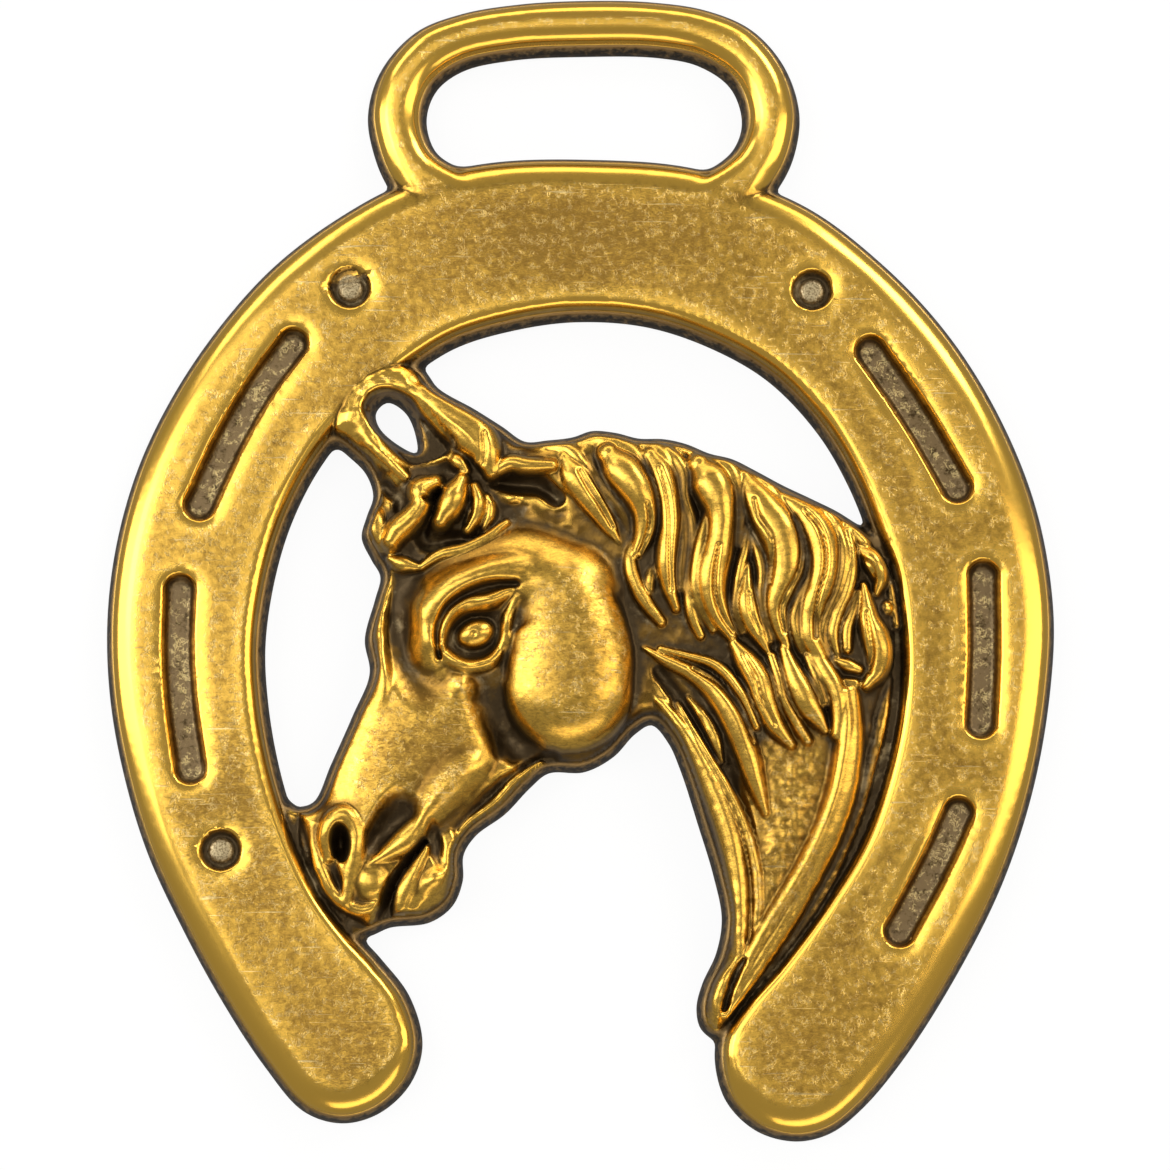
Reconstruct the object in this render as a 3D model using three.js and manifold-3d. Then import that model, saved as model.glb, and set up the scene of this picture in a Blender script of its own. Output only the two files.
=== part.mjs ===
// Horse brass: a horse's head in relief inside a horseshoe, cast in one piece with the
// hanger for its strap. Millimetres: X to the right, Y towards the hanger, Z up from the
// flat back. The origin is on the back, under the middle of the casting's box.
import * as THREE from 'three';
import { mergeVertices } from 'three/addons/utils/BufferGeometryUtils.js';
import Module from 'manifold-3d';

const wasm = await Module();
wasm.setup();

// Driving dimensions: heights over the back, and the profile of a cast edge
const SHOE_FACE = 3.2;
const HANGER_FACE = 3.1;
const WEB_FACE = 2.0;
const WALL_TOP = 1.85;
const BACK_ROUND_HEIGHT = 0.3;
const BACK_ROUND = 0.15;
const DRAFT = 0.5;
const LEDGE = 0.12;
const INNER_ROUND = 0.9;
const OUTER_ROUND = 2.4;
const HANGER_ROUND = 1.5;
const EAR_HOLE_ROUND = 0.5;
const ABOVE = 9;
const BELOW = -1;

// Nail grooves and nail heads sunk in the shoe's face
const GROOVE_FLOOR = 1.95;
const GROOVE_HALF_WIDTH = 1.35;
const GROOVE_FLOOR_HALF_WIDTH = 0.75;
const GROOVE_BEVEL = 0.25;
const NAIL_HOLE_RADIUS = 1.7;
const NAIL_FLOOR_RADIUS = 1.25;
const NAIL_FLOOR = 2.2;
const NAIL_RADIUS = 1.0;
const NAIL_TOP = 2.65;

// How finely the curves and the relief are cut into faces
const SHOE_STEPS = 112;
const HANGER_STEPS = 52;
const HEAD_STEPS = 126;
const EAR_HOLE_STEPS = 16;
const GROOVE_STEPS = 8;
const GROOVE_END_STEPS = 6;
const NAIL_STEPS = 16;
const RELIEF_STEP = 0.88;
const ROUND_ANGLES = [35, 65, 90];

// Outlines at the back face: [x, y] through which a smooth closed curve runs
const SHOE = [
  [0.5, 32.4], [9, 31.7], [17.5, 28.8], [23.8, 24.1], [29.2, 18.2], [33.3, 11.4],
  [36.1, 4], [37.3, -3.8], [37, -10.1], [35.6, -17.8], [33.1, -25.3], [29.5, -32.4],
  [25.2, -39.1], [21.9, -43], [19.4, -44.9], [16.7, -45.5], [13.7, -44.7], [11.4, -42.5],
  [10.5, -39.6], [10.7, -37.2], [12.4, -34.4], [15, -31.4], [18.3, -27], [21.4, -21.9],
  [23.4, -16.2], [24.5, -8.7], [24, -1.9], [21.2, 6], [18.8, 10.2], [14.9, 14.4],
  [10.3, 17.1], [5.2, 18.8], [-0.4, 19.2], [-5.4, 18.5], [-9.9, 17.1], [-13.6, 14.7],
  [-17.2, 11.7], [-20.4, 7.8], [-22.6, 3.6], [-24, -0.9], [-24.8, -6.4], [-24.6, -10.9],
  [-23.7, -16.1], [-22.2, -21], [-20, -25.8], [-17.7, -29], [-15.5, -31.4], [-13.3, -34.3],
  [-12.3, -38], [-13.2, -41], [-15.6, -43.3], [-18.5, -44.1], [-21.5, -43.2], [-24.6, -39.7],
  [-28.1, -34.4], [-31.2, -28.8], [-33.9, -23.1], [-35.8, -17.1], [-37, -10.9],
  [-37.3, -4.5], [-36.6, 1.7], [-34.9, 7.8], [-32.2, 13.5], [-28.7, 18.8], [-24.5, 23.6],
  [-19.5, 27.5], [-14, 30.5], [-7.5, 32.1],
];
const HANGER = [
  [0, 45.4], [5.5, 45.3], [10.1, 44.6], [13.7, 43], [16.3, 40], [17.5, 36.2],
  [17.1, 32.8], [15.9, 30.2], [13.5, 27.5], [0, 27], [-13.4, 27.8], [-15.4, 30.2],
  [-16.5, 32.8], [-17, 36], [-16, 39.6], [-13.2, 42.8], [-9.6, 44.3], [-5, 45.1],
];
const SLOT = [
  [0.5, 40.8], [6.2, 40.7], [9.5, 40], [12, 38.2], [12.9, 35.4], [12.2, 33.2],
  [10.4, 31.7], [8.3, 31], [0.5, 31], [-7.5, 31.2], [-10, 31.9], [-11.6, 33.1],
  [-12.3, 35.6], [-11.5, 38], [-9.4, 39.6], [-5.4, 40.5],
];
const HEAD = [
  [-14, 16.2], [-12.3, 15.2], [-11.3, 13.9], [-8.4, 12.2], [-6.2, 10.8], [-4.4, 9.6],
  [-0.6, 9.95], [0.9, 10.45], [2.8, 10.3], [4.6, 9.85], [8.4, 9.4], [12, 8.2],
  [16, 6.1], [20.8, 3.7], [23.5, 1.5], [26, -4], [26, -12], [23.5, -21], [19.5, -28],
  [15.5, -33], [12.5, -36.3], [10.6, -37.6], [9.4, -36.8], [9.1, -35.2], [9.5, -33.3],
  [10.6, -30.9], [11, -28.2], [10.4, -24.8], [9.2, -20.8], [7.9, -16.7], [6.9, -14.4],
  [5.6, -13], [4.3, -13.7], [2.6, -15.5], [0.3, -16.7], [-2.5, -16.8], [-3.9, -17.9],
  [-5.9, -20], [-8.2, -21.7], [-9.1, -23.2], [-9.2, -25.2], [-10, -27.2], [-11.8, -28.5],
  [-14.9, -28.9], [-18.5, -30], [-22, -26.5], [-23.8, -22], [-23, -19.2], [-20.9, -19],
  [-19.6, -16.1], [-17.9, -12.2], [-16.6, -8.9], [-17, -6.2], [-16.2, -3], [-15.8, -1.2],
  [-17.3, 1.9], [-16.4, 5.2], [-17, 7], [-20.2, 10], [-19.5, 13.5], [-16.5, 16],
];
const EAR_HOLE = [
  [-15.3, 12.7], [-16.2, 11.9], [-16, 10.8], [-14.7, 9.5], [-13, 8.7], [-13.1, 10.2],
  [-13.9, 11.9],
];

// Where the head's relief stops short of the shoe and leaves the web bare
const NECK_FOOT = [
  [21.2, 4.4], [23.8, -1.4], [24.5, -8.5], [22.6, -14.4], [20.6, -21.4], [17.2, -28.3],
  [13.3, -34], [10.2, -38.5],
];
const MUZZLE_FOOT = [
  [-23.5, -16.7], [-21.6, -21.8], [-19.7, -26.2], [-16.2, -29], [-14.4, -29.8],
];

const GROOVES = [
  [[-22.7, 17], [-25.1, 13.7], [-27.4, 9.7], [-29.9, 4.2]],
  [[-31.4, -2.6], [-31.5, -7], [-31.2, -11.3], [-30.4, -16.6]],
  [[22.9, 16.4], [25, 13.4], [27.1, 10.1], [29.6, 5.6]],
  [[31.6, -1.5], [31.6, -7.4], [31.3, -13]],
  [[29.5, -20.1], [27.8, -23.8], [24.8, -29.3]],
];
const NAILS = [[-18.2, 21.5], [18.3, 21.3], [-28, -23]];

// Small helpers

function clamp(value, low, high) {
  return Math.min(high, Math.max(low, value));
}

function smoothMax(a, b, blend) {
  const h = clamp(0.5 + (0.5 * (a - b)) / blend, 0, 1);
  return b + (a - b) * h + blend * h * (1 - h);
}

function smoothCurve(points, closed) {
  const nodes = points.map(([x, y, z = 0]) => new THREE.Vector3(x, y, z));
  return new THREE.CatmullRomCurve3(nodes, closed, 'centripetal');
}

// Evenly spaced points round a closed outline, each with its inward normal. The outline
// is turned anticlockwise first.
function closedOutline(points, steps) {
  const ring = smoothCurve(points, true).getSpacedPoints(steps).slice(0, steps);
  if (THREE.ShapeUtils.area(ring) < 0) ring.reverse();
  return ring.map((point, i) => {
    const next = ring[(i + 1) % steps];
    const last = ring[(i + steps - 1) % steps];
    const length = Math.hypot(next.x - last.x, next.y - last.y);
    const inward = [-(next.y - last.y) / length, (next.x - last.x) / length];
    return { x: point.x, y: point.y, inward };
  });
}

function offsetRing(outline, distance, height) {
  return outline.map(({ x, y, inward }, i) => {
    const d = typeof distance === 'function' ? distance(i) : distance;
    return new THREE.Vector3(x + inward[0] * d, y + inward[1] * d, height);
  });
}

// Closed skin over rings of equal length, lowest first, with a flat cap at each end
function loft(rings) {
  const count = rings[0].length;
  const index = [];
  for (let k = 0; k + 1 < rings.length; k += 1) {
    for (let i = 0; i < count; i += 1) {
      const j = (i + 1) % count;
      const [a, b] = [k * count + i, k * count + j];
      index.push(a, b, b + count, a, b + count, a + count);
    }
  }
  const top = (rings.length - 1) * count;
  for (const [a, b, c] of THREE.ShapeUtils.triangulateShape(rings[0], [])) index.push(c, b, a);
  for (const [a, b, c] of THREE.ShapeUtils.triangulateShape(rings.at(-1), [])) {
    index.push(top + a, top + b, top + c);
  }
  return solidOf(new THREE.BufferGeometry().setFromPoints(rings.flat()).setIndex(index));
}

function solidOf(geometry) {
  geometry.deleteAttribute('normal');
  geometry.deleteAttribute('uv');
  const merged = mergeVertices(geometry);
  return new wasm.Manifold(new wasm.Mesh({
    numProp: 3,
    vertProperties: Float32Array.from(merged.attributes.position.array),
    triVerts: Uint32Array.from(merged.index.array),
  }));
}

// Rings up the edge of a casting: a small round at the back, a drafted wall, a ledge and a
// rounded shoulder. way is 1 for an outer edge and -1 for the edge round an opening.
function edgeRings(outline, face, roundAt, way) {
  const rings = [
    offsetRing(outline, way * BACK_ROUND, 0),
    offsetRing(outline, 0, BACK_ROUND_HEIGHT),
    offsetRing(outline, way * DRAFT, WALL_TOP),
  ];
  for (const degrees of ROUND_ANGLES) {
    const angle = THREE.MathUtils.degToRad(degrees);
    const inset = (i) => way * (DRAFT + LEDGE + roundAt(i) * (1 - Math.cos(angle)));
    rings.push(offsetRing(outline, inset, WALL_TOP + (face - WALL_TOP) * Math.sin(angle)));
  }
  return rings;
}

function castPlate(outline, face, roundAt) {
  return loft(edgeRings(outline, face, roundAt, 1));
}

// Cutter for an opening: as narrow as its outline near the back, opening towards the face
function openingCutter(outline, face, round) {
  return loft([
    offsetRing(outline, -BACK_ROUND, BELOW),
    ...edgeRings(outline, face, () => round, -1),
    offsetRing(outline, -DRAFT - LEDGE - round, ABOVE),
  ]);
}

// The shoe's shoulder is broad on the outside and narrow towards the head
function shoeSolid() {
  const outline = closedOutline(SHOE, SHOE_STEPS);
  const centre = [0, -8];
  const roundAt = (i) => {
    const { x, y, inward } = outline[i];
    const reach = Math.hypot(x - centre[0], y - centre[1]);
    const facing = -(inward[0] * (x - centre[0]) + inward[1] * (y - centre[1])) / reach;
    const outer = THREE.MathUtils.smoothstep(facing, -0.4, 0.5);
    return THREE.MathUtils.lerp(INNER_ROUND, OUTER_ROUND, outer);
  };
  return castPlate(outline, SHOE_FACE, roundAt);
}

function hangerSolid() {
  const bow = castPlate(closedOutline(HANGER, HANGER_STEPS), HANGER_FACE, () => HANGER_ROUND);
  const slot = openingCutter(closedOutline(SLOT, HANGER_STEPS), HANGER_FACE, HANGER_ROUND);
  return bow.subtract(slot);
}

// Outline at an even distance from a line: along its right side, round its end and back
function roundEndedRing(line, distance, height) {
  const ring = [];
  for (const way of [line, line.toReversed()]) {
    way.forEach((point, i) => {
      const [next, last] = [way[i + 1] ?? point, way[i - 1] ?? point];
      const heading = Math.atan2(next.y - last.y, next.x - last.x);
      const turns = i === way.length - 1 ? GROOVE_END_STEPS : 1;
      for (let k = 0; k < turns; k += 1) {
        const angle = heading - Math.PI / 2 + (Math.PI * k) / GROOVE_END_STEPS;
        const [dx, dy] = [distance * Math.cos(angle), distance * Math.sin(angle)];
        ring.push(new THREE.Vector3(point.x + dx, point.y + dy, height));
      }
    });
  }
  return ring;
}

// Cutter for a groove along a curve, with round ends and sides that lean outwards
function grooveCutter(path) {
  const line = smoothCurve(path, false).getSpacedPoints(GROOVE_STEPS);
  return loft([
    roundEndedRing(line, GROOVE_FLOOR_HALF_WIDTH, GROOVE_FLOOR),
    roundEndedRing(line, GROOVE_HALF_WIDTH - GROOVE_BEVEL, SHOE_FACE - GROOVE_BEVEL),
    roundEndedRing(line, GROOVE_HALF_WIDTH, SHOE_FACE),
    roundEndedRing(line, GROOVE_HALF_WIDTH + GROOVE_BEVEL, ABOVE),
  ]);
}

function turnedSolid(profile, [x, y]) {
  const points = profile.map(([radius, height]) => new THREE.Vector2(radius, height));
  const geometry = new THREE.LatheGeometry(points, NAIL_STEPS);
  geometry.rotateX(Math.PI / 2);
  geometry.translate(x, y, 0);
  return solidOf(geometry);
}

function nailCutter(centre) {
  return turnedSolid([
    [0, NAIL_FLOOR], [NAIL_FLOOR_RADIUS, NAIL_FLOOR], [NAIL_HOLE_RADIUS, SHOE_FACE],
    [NAIL_HOLE_RADIUS, ABOVE], [0, ABOVE],
  ], centre);
}

// The head is rooted under the floor of its hole, and domed a little on top
function nailHead(centre) {
  const root = NAIL_FLOOR - 0.4;
  const shoulder = NAIL_TOP - 0.25;
  const brow = NAIL_TOP - 0.06;
  return turnedSolid([
    [0, root], [NAIL_RADIUS, root], [NAIL_RADIUS, shoulder], [NAIL_RADIUS * 0.7, brow],
    [0, NAIL_TOP],
  ], centre);
}

// Relief. A form is a function that takes a place and the height there, and gives the new
// height. Rows of a form's path are [x, y, half width] or [x, y, half width, crest height].

function nearestOn(path, x, y) {
  let best = { distance: Infinity };
  for (let i = 0; i + 1 < path.length; i += 1) {
    const [ax, ay] = path[i];
    const [dx, dy] = [path[i + 1][0] - ax, path[i + 1][1] - ay];
    const along = clamp(((x - ax) * dx + (y - ay) * dy) / (dx * dx + dy * dy), 0, 1);
    const [ex, ey] = [x - ax - along * dx, y - ay - along * dy];
    const distance = Math.hypot(ex, ey);
    if (distance < best.distance) {
      best = { distance, side: Math.sign(dx * ey - dy * ex), at: i + along };
    }
  }
  return best;
}

function rowAt(rows, at) {
  const i = Math.min(Math.floor(at), rows.length - 2);
  return rows[i].map((value, k) => value + (rows[i + 1][k] - value) * (at - i));
}

// Splits a path of rows into short steps; width and crest run linearly between the rows
function fineRows(rows, stepsPerSpan = 4) {
  const curve = smoothCurve(rows, false);
  const count = (rows.length - 1) * stepsPerSpan;
  return Array.from({ length: count + 1 }, (unused, k) => {
    const point = curve.getPoint(k / count);
    return [point.x, point.y, ...rowAt(rows, k / stepsPerSpan).slice(2)];
  });
}

// Shared by all forms along a path: calls shape(t, row, height), t running from 0 on the
// path to 1 at its edge
function alongPath(rows, shape) {
  const path = fineRows(rows);
  const reach = Math.max(...path.map((row) => row[2]));
  const box = new THREE.Box2().setFromPoints(path.map(([x, y]) => new THREE.Vector2(x, y)));
  box.expandByScalar(reach);
  return (x, y, height) => {
    if (!box.containsPoint(new THREE.Vector2(x, y))) return height;
    const { distance, at } = nearestOn(path, x, y);
    const row = rowAt(path, at);
    return distance < row[2] ? shape(distance / row[2], row, height) : height;
  };
}

function ridge(rows, drop, blend = 0.1, fullness = 2) {
  return alongPath(rows, (t, row, height) => {
    const top = row[3] - drop * (1 - Math.sqrt(1 - t ** fullness));
    return smoothMax(top, height, blend);
  });
}

function swelling(rows, rise) {
  return alongPath(rows, (t, row, height) => height + rise * (1 - t * t) ** 2);
}

function hollow(rows, depth) {
  return swelling(rows, -depth);
}

function crease(rows, depth) {
  return alongPath(rows, (t, row, height) => height - depth * (1 - t) ** 1.5);
}

function dome({ at, radii, turn, base, crest, fullness, blend }) {
  const [cos, sin] = [Math.cos(turn), Math.sin(turn)];
  return (x, y, height) => {
    const [dx, dy] = [x - at[0], y - at[1]];
    const t = Math.hypot((dx * cos + dy * sin) / radii[0], (dy * cos - dx * sin) / radii[1]);
    if (t >= 1) return height;
    return smoothMax(base + (crest - base) * (1 - t ** fullness) ** 0.6, height, blend);
  };
}

// A lock of hair: round at its root, drawn out to a point, its crest falling to the tip
function lock(points, halfWidth, crest) {
  const steps = 16;
  const line = smoothCurve(points, false).getSpacedPoints(steps);
  const length = smoothCurve(points, false).getLength();
  const rows = line.map(({ x, y }, i) => {
    const t = i / steps;
    const root = Math.sqrt(clamp((t * length) / (0.9 * halfWidth), 0.05, 1));
    const tip = Math.sqrt(clamp(((1 - t) * length) / (3.2 * halfWidth), 0.02, 1));
    const taper = 1 - 0.35 * clamp((t - 0.3) / 0.5, 0, 1);
    const rootDrop = 1.6 * (1 - clamp((t * length) / 2, 0, 1)) ** 2;
    const tipDrop = 0.9 * clamp((t - 0.45) / 0.55, 0, 1);
    return [x, y, halfWidth * taper * root * tip, crest - rootDrop - tipDrop];
  });
  return alongPath(rows, (t, row, height) => {
    const drop = Math.min(1.9, 1.5 * row[2] + 0.35);
    return smoothMax(row[3] - drop * (1 - Math.sqrt(1 - t ** 2.2)), height, 0.05);
  });
}

const FACE = [
  ridge([
    [-3.2, -2.8, 4.7, 4.8], [-8.6, -5.2, 5.2, 4.7], [-10.5, -8.9, 5.8, 4.8],
    [-11.8, -13, 6.3, 4.9], [-14, -17.3, 5.8, 4.7], [-15.8, -21.2, 4.6, 4.5],
    [-16.8, -24.1, 3.5, 4.2],
  ], 2.4, 0.5, 3),
  ridge([[-10, -22.7, 2, 3.5], [-11.7, -25.2, 2.2, 4], [-13.1, -26.9, 1.6, 3.7]], 1.4, 0.3),
  dome({
    at: [-2.8, -3.3], radii: [7.3, 5.5], turn: -0.38, base: 2.8, crest: 5.2, fullness: 2.6,
    blend: 0.6,
  }),
];
const CHEEK = [
  dome({
    at: [-0.9, -7], radii: [5.2, 8.2], turn: 0.07, base: 2.8, crest: 6.5, fullness: 4.2,
    blend: 0.3,
  }),
  hollow([[-7.2, -10.2, 0.8], [-6.1, -12.7, 1.2], [-3.9, -15.5, 1.2]], 0.9),
];
const BROW = [
  hollow([[-14.6, -1.6, 0.7], [-14.5, -4.3, 0.9], [-14.1, -7.5, 1], [-13.7, -9.8, 0.8]], 1),
  ridge([
    [-11.9, -8.7, 0.7, 4.9], [-12.2, -6.3, 0.9, 5.4], [-11.5, -4, 1, 5.5],
    [-9.5, -2.1, 0.9, 5.5], [-6.5, -1.4, 0.8, 5.4],
  ], 1.3, 0.25),
];
const EYE = [
  hollow([
    [-10.1, -7.9, 1.1], [-9.2, -6.3, 1.6], [-7.4, -5.4, 1.8], [-5.6, -3.5, 0.8],
  ], 1.1),
  ridge([[-10.5, -6.3, 0.4, 4.7], [-9, -4.7, 0.6, 5.1], [-6.5, -3.6, 0.4, 4.8]], 1, 0.06),
  dome({
    at: [-8.1, -6.3], radii: [1.5, 1], turn: 0.42, base: 3.7, crest: 5.2, fullness: 2,
    blend: 0.08,
  }),
];
const JAW = [
  swelling([[-7.4, -15.5, 1], [-8.6, -16.6, 1.2], [-10.4, -18.1, 1]], 0.5),
  hollow([[-2.2, -15.8, 0.7], [-5.1, -17.8, 0.8], [-8.7, -21.4, 0.7]], 0.9),
];
const MUZZLE = [
  hollow([[-15.8, -23.1, 0.8], [-15.1, -21.6, 1.1], [-13.4, -19.9, 0.9]], 1.3),
  ridge([
    [-16, -24.1, 0.4, 4.2], [-14.6, -23.1, 0.7, 4.6], [-12.9, -21.7, 0.9, 4.9],
    [-11.3, -20.3, 0.6, 4.8], [-9.6, -18.2, 0.6, 4.8],
  ], 1.1, 0.12),
  ridge([
    [-19.6, -22.8, 0.5, 4.2], [-19.3, -21.4, 0.6, 4.6], [-18.3, -20.6, 0.6, 4.9],
    [-17.4, -21.7, 0.6, 4.9], [-17.3, -23.7, 0.6, 4.7], [-18.2, -27, 0.5, 3.9],
  ], 1.1, 0.12),
  hollow([[-18.9, -22.2, 0.8], [-18.3, -23.6, 0.8]], 1.6),
  ridge([
    [-20.8, -21.3, 0.4, 3.3], [-20.4, -23.7, 0.6, 3.5], [-19.3, -25.8, 0.6, 3.6],
    [-17.7, -27.3, 0.6, 3.6], [-15.1, -26.4, 0.4, 3.7],
  ], 1.1, 0.12),
  crease([[-12, -22.9, 0.6], [-13.2, -24.5, 0.8], [-14.2, -26.3, 0.9], [-15.1, -28, 0.9]], 1.7),
];
const FORELOCK = [
  dome({
    at: [-16.2, 1.2], radii: [1.3, 2.4], turn: 0.09, base: 2, crest: 4, fullness: 2,
    blend: 0.15,
  }),
  ridge([
    [-10.2, 5.9, 0.7, 4.9], [-12.4, 4.5, 1.1, 5.6], [-12.8, 3.4, 0.9, 5.5],
    [-13.9, 2.5, 1, 5.5], [-14.7, 1, 1, 5.3],
  ], 1.9, 0.08),
  ridge([
    [-8.9, 5.9, 0.7, 4.8], [-9.2, 4.8, 1, 5.4], [-9.7, 3.6, 1, 5.4], [-11.1, 2, 0.6, 5],
  ], 1.8, 0.08),
  ridge([[-8.2, 5.2, 0.4, 4.7], [-7.9, 3.8, 0.7, 5], [-8.8, 1.3, 0.5, 4.6]], 1.5, 0.08),
];
const EARS = [
  hollow([[-6.9, 6.1, 0.8], [-5.1, 5.4, 1.1], [-2.8, 5.2, 1.1], [-1.8, 4.4, 0.7]], 1.3),
  ridge([[-6.8, 6.8, 0.6, 4.5], [-3.9, 7, 0.6, 4.7], [-1.9, 7.2, 0.6, 4.5]], 1, 0.1),
  hollow([[-12.2, 12, 0.8], [-11, 10.5, 1], [-10.1, 8.9, 1], [-9.3, 7.5, 0.7]], 1.3),
  ridge([
    [-13.8, 13.3, 1, 3.3], [-12.2, 12.5, 1.1, 3.9], [-10.2, 11.2, 1.3, 4.5],
    [-8.4, 9.6, 1.6, 5], [-7.2, 7.9, 1.5, 5.1], [-6.9, 6.4, 1, 4.8],
  ], 1.8, 0.12),
  ridge([
    [-18, 10.5, 0.5, 3.3], [-16.4, 8.7, 0.7, 3.6], [-14.8, 7.2, 0.7, 3.9],
    [-13.4, 5.7, 0.6, 4],
  ], 1.4, 0.1),
];
const NECK = [
  hollow([
    [6.1, -9.1, 0.6], [8.5, -12.3, 1], [11, -16.2, 1.1], [12.9, -21.5, 1], [13.7, -25.4, 0.6],
  ], 1),
  hollow([[16.3, -18.4, 2], [15.5, -23.1, 1.7], [14.3, -27.3, 1]], 0.6),
  ridge([
    [5.5, -10.6, 0.5, 3.5], [8.8, -15, 0.7, 4.2], [10.7, -18.6, 0.8, 4.3],
    [12.7, -24.8, 0.7, 4.2], [13.1, -31.8, 0.6, 3.8],
  ], 1.4, 0.12),
  ridge([
    [5.4, -7.8, 0.6, 4.1], [9.5, -10.4, 1, 4.9], [11.4, -11.9, 1, 5.1], [12.6, -14.2, 1, 5],
    [14.4, -19.9, 0.7, 4.1],
  ], 1.6, 0.15),
  ridge([
    [20.7, -10.7, 1, 5], [20.7, -14.2, 1.2, 5], [19.2, -21, 1.2, 4.8], [16.2, -27.4, 1, 4.4],
    [12.2, -33.9, 0.8, 3.8], [10.6, -35.9, 0.6, 3.5],
  ], 2, 0.2),
];
const MANE = [
  lock([[-1.9, 8.1], [0.6, 4.9], [1.8, 3.2], [3.2, 0.7]], 1.2, 4.9),
  lock([[1.2, 9.1], [3.2, 6.7], [4.7, 4.6], [5, 2.3], [4.4, -0.3]], 1.7, 5.8),
  lock([[4.4, 9], [5.9, 6.7], [6.8, 3.8], [6.5, -0.7], [7.4, -4.4]], 1.1, 5.4),
  lock([[7.5, 2.4], [7.9, -0.4], [9, -6.2]], 0.7, 4.6),
  lock([[7.2, 8.5], [9.8, 5.7], [11, 2.9], [9.6, -2.8], [10.4, -4.9], [11.9, -7]], 1.8, 6.1),
  lock([
    [10.6, 7.7], [13.1, 4.5], [14.8, 1.9], [15.9, -0.3], [15.1, -4.4], [16, -7.6],
  ], 1.5, 6),
  lock([[13.2, 0.7], [12.8, -2], [13.2, -4.1], [14.3, -7.4]], 0.8, 5.1),
  lock([
    [13.3, 7], [16.5, 4.8], [18.5, 2.8], [19.4, 0.1], [19.3, -2.5], [17.5, -6.8],
    [19.5, -10.3], [20.5, -12.1],
  ], 1.5, 5.7),
  lock([[19.2, 4.3], [20.6, 0.6], [20.9, -1.2], [19.6, -5.3], [19.7, -7.9]], 0.7, 5),
  lock([[20.8, 1.3], [22.3, -0.4], [23.1, -3.1]], 0.8, 4.9),
  lock([[22.1, -1.7], [21.9, -4], [23.3, -7.4], [23.6, -9], [22.2, -10.8]], 1, 5.3),
  lock([[11.7, -6.3], [14, -9.9], [14.4, -11.9], [16.8, -15.1]], 1.1, 5.2),
  lock([[10.3, -5.9], [12.1, -8.6], [13.3, -11.4], [15.1, -14.3]], 0.8, 4.7),
  lock([[15.9, -6.5], [17.2, -10.7], [18.8, -13.7]], 1.4, 5.2),
];
const MANE_GROUND = swelling([
  [-0.8, 6, 4.7], [5.4, 2, 5.9], [12.5, -2, 6.3], [18.7, -5.1, 5.5], [21, -8.2, 3.2],
], 0.5);
const FORMS = [
  MANE_GROUND, ...FACE, ...CHEEK, ...BROW, ...EYE, ...JAW, ...MUZZLE, ...FORELOCK, ...EARS,
  ...NECK, ...MANE,
];

// Height of the head's relief over the back. The body rises from the web as a rounded
// swelling, and the forms are laid on it in their order.
const headEdge = closedOutline(HEAD, HEAD_STEPS).map(({ x, y }) => [x, y]);
headEdge.push(headEdge[0]);
const neckFoot = fineRows(NECK_FOOT);
const muzzleFoot = fineRows(MUZZLE_FOOT);

function heightAt(x, y) {
  const bodyRise = 1.5;
  const riseWidth = 2.6;
  const nearFoot = 8;
  const edge = nearestOn(headEdge, x, y);
  const neck = nearestOn(neckFoot, x, y);
  const muzzle = nearestOn(muzzleFoot, x, y);
  let inside = edge.side * edge.distance - DRAFT - LEDGE;
  if (neck.distance < nearFoot) inside = Math.min(inside, -neck.side * neck.distance);
  if (muzzle.distance < nearFoot) inside = Math.min(inside, muzzle.side * muzzle.distance);
  const t = clamp(inside / riseWidth, 0, 1);
  const body = WEB_FACE + bodyRise * Math.sqrt(1 - (1 - t) ** 2);
  return FORMS.reduce((height, form) => form(x, y, height), body);
}

// The height evened out over a small patch, so that a narrow form isn't cut up by the rows
function headHeight(x, y) {
  const patch = 0.3;
  const corners = [0, 60, 120, 180, 240, 300].map((degrees) => {
    const angle = THREE.MathUtils.degToRad(degrees);
    return heightAt(x + patch * Math.cos(angle), y + patch * Math.sin(angle));
  });
  return corners.reduce((sum, height) => sum + height, heightAt(x, y)) / (corners.length + 1);
}

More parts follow.
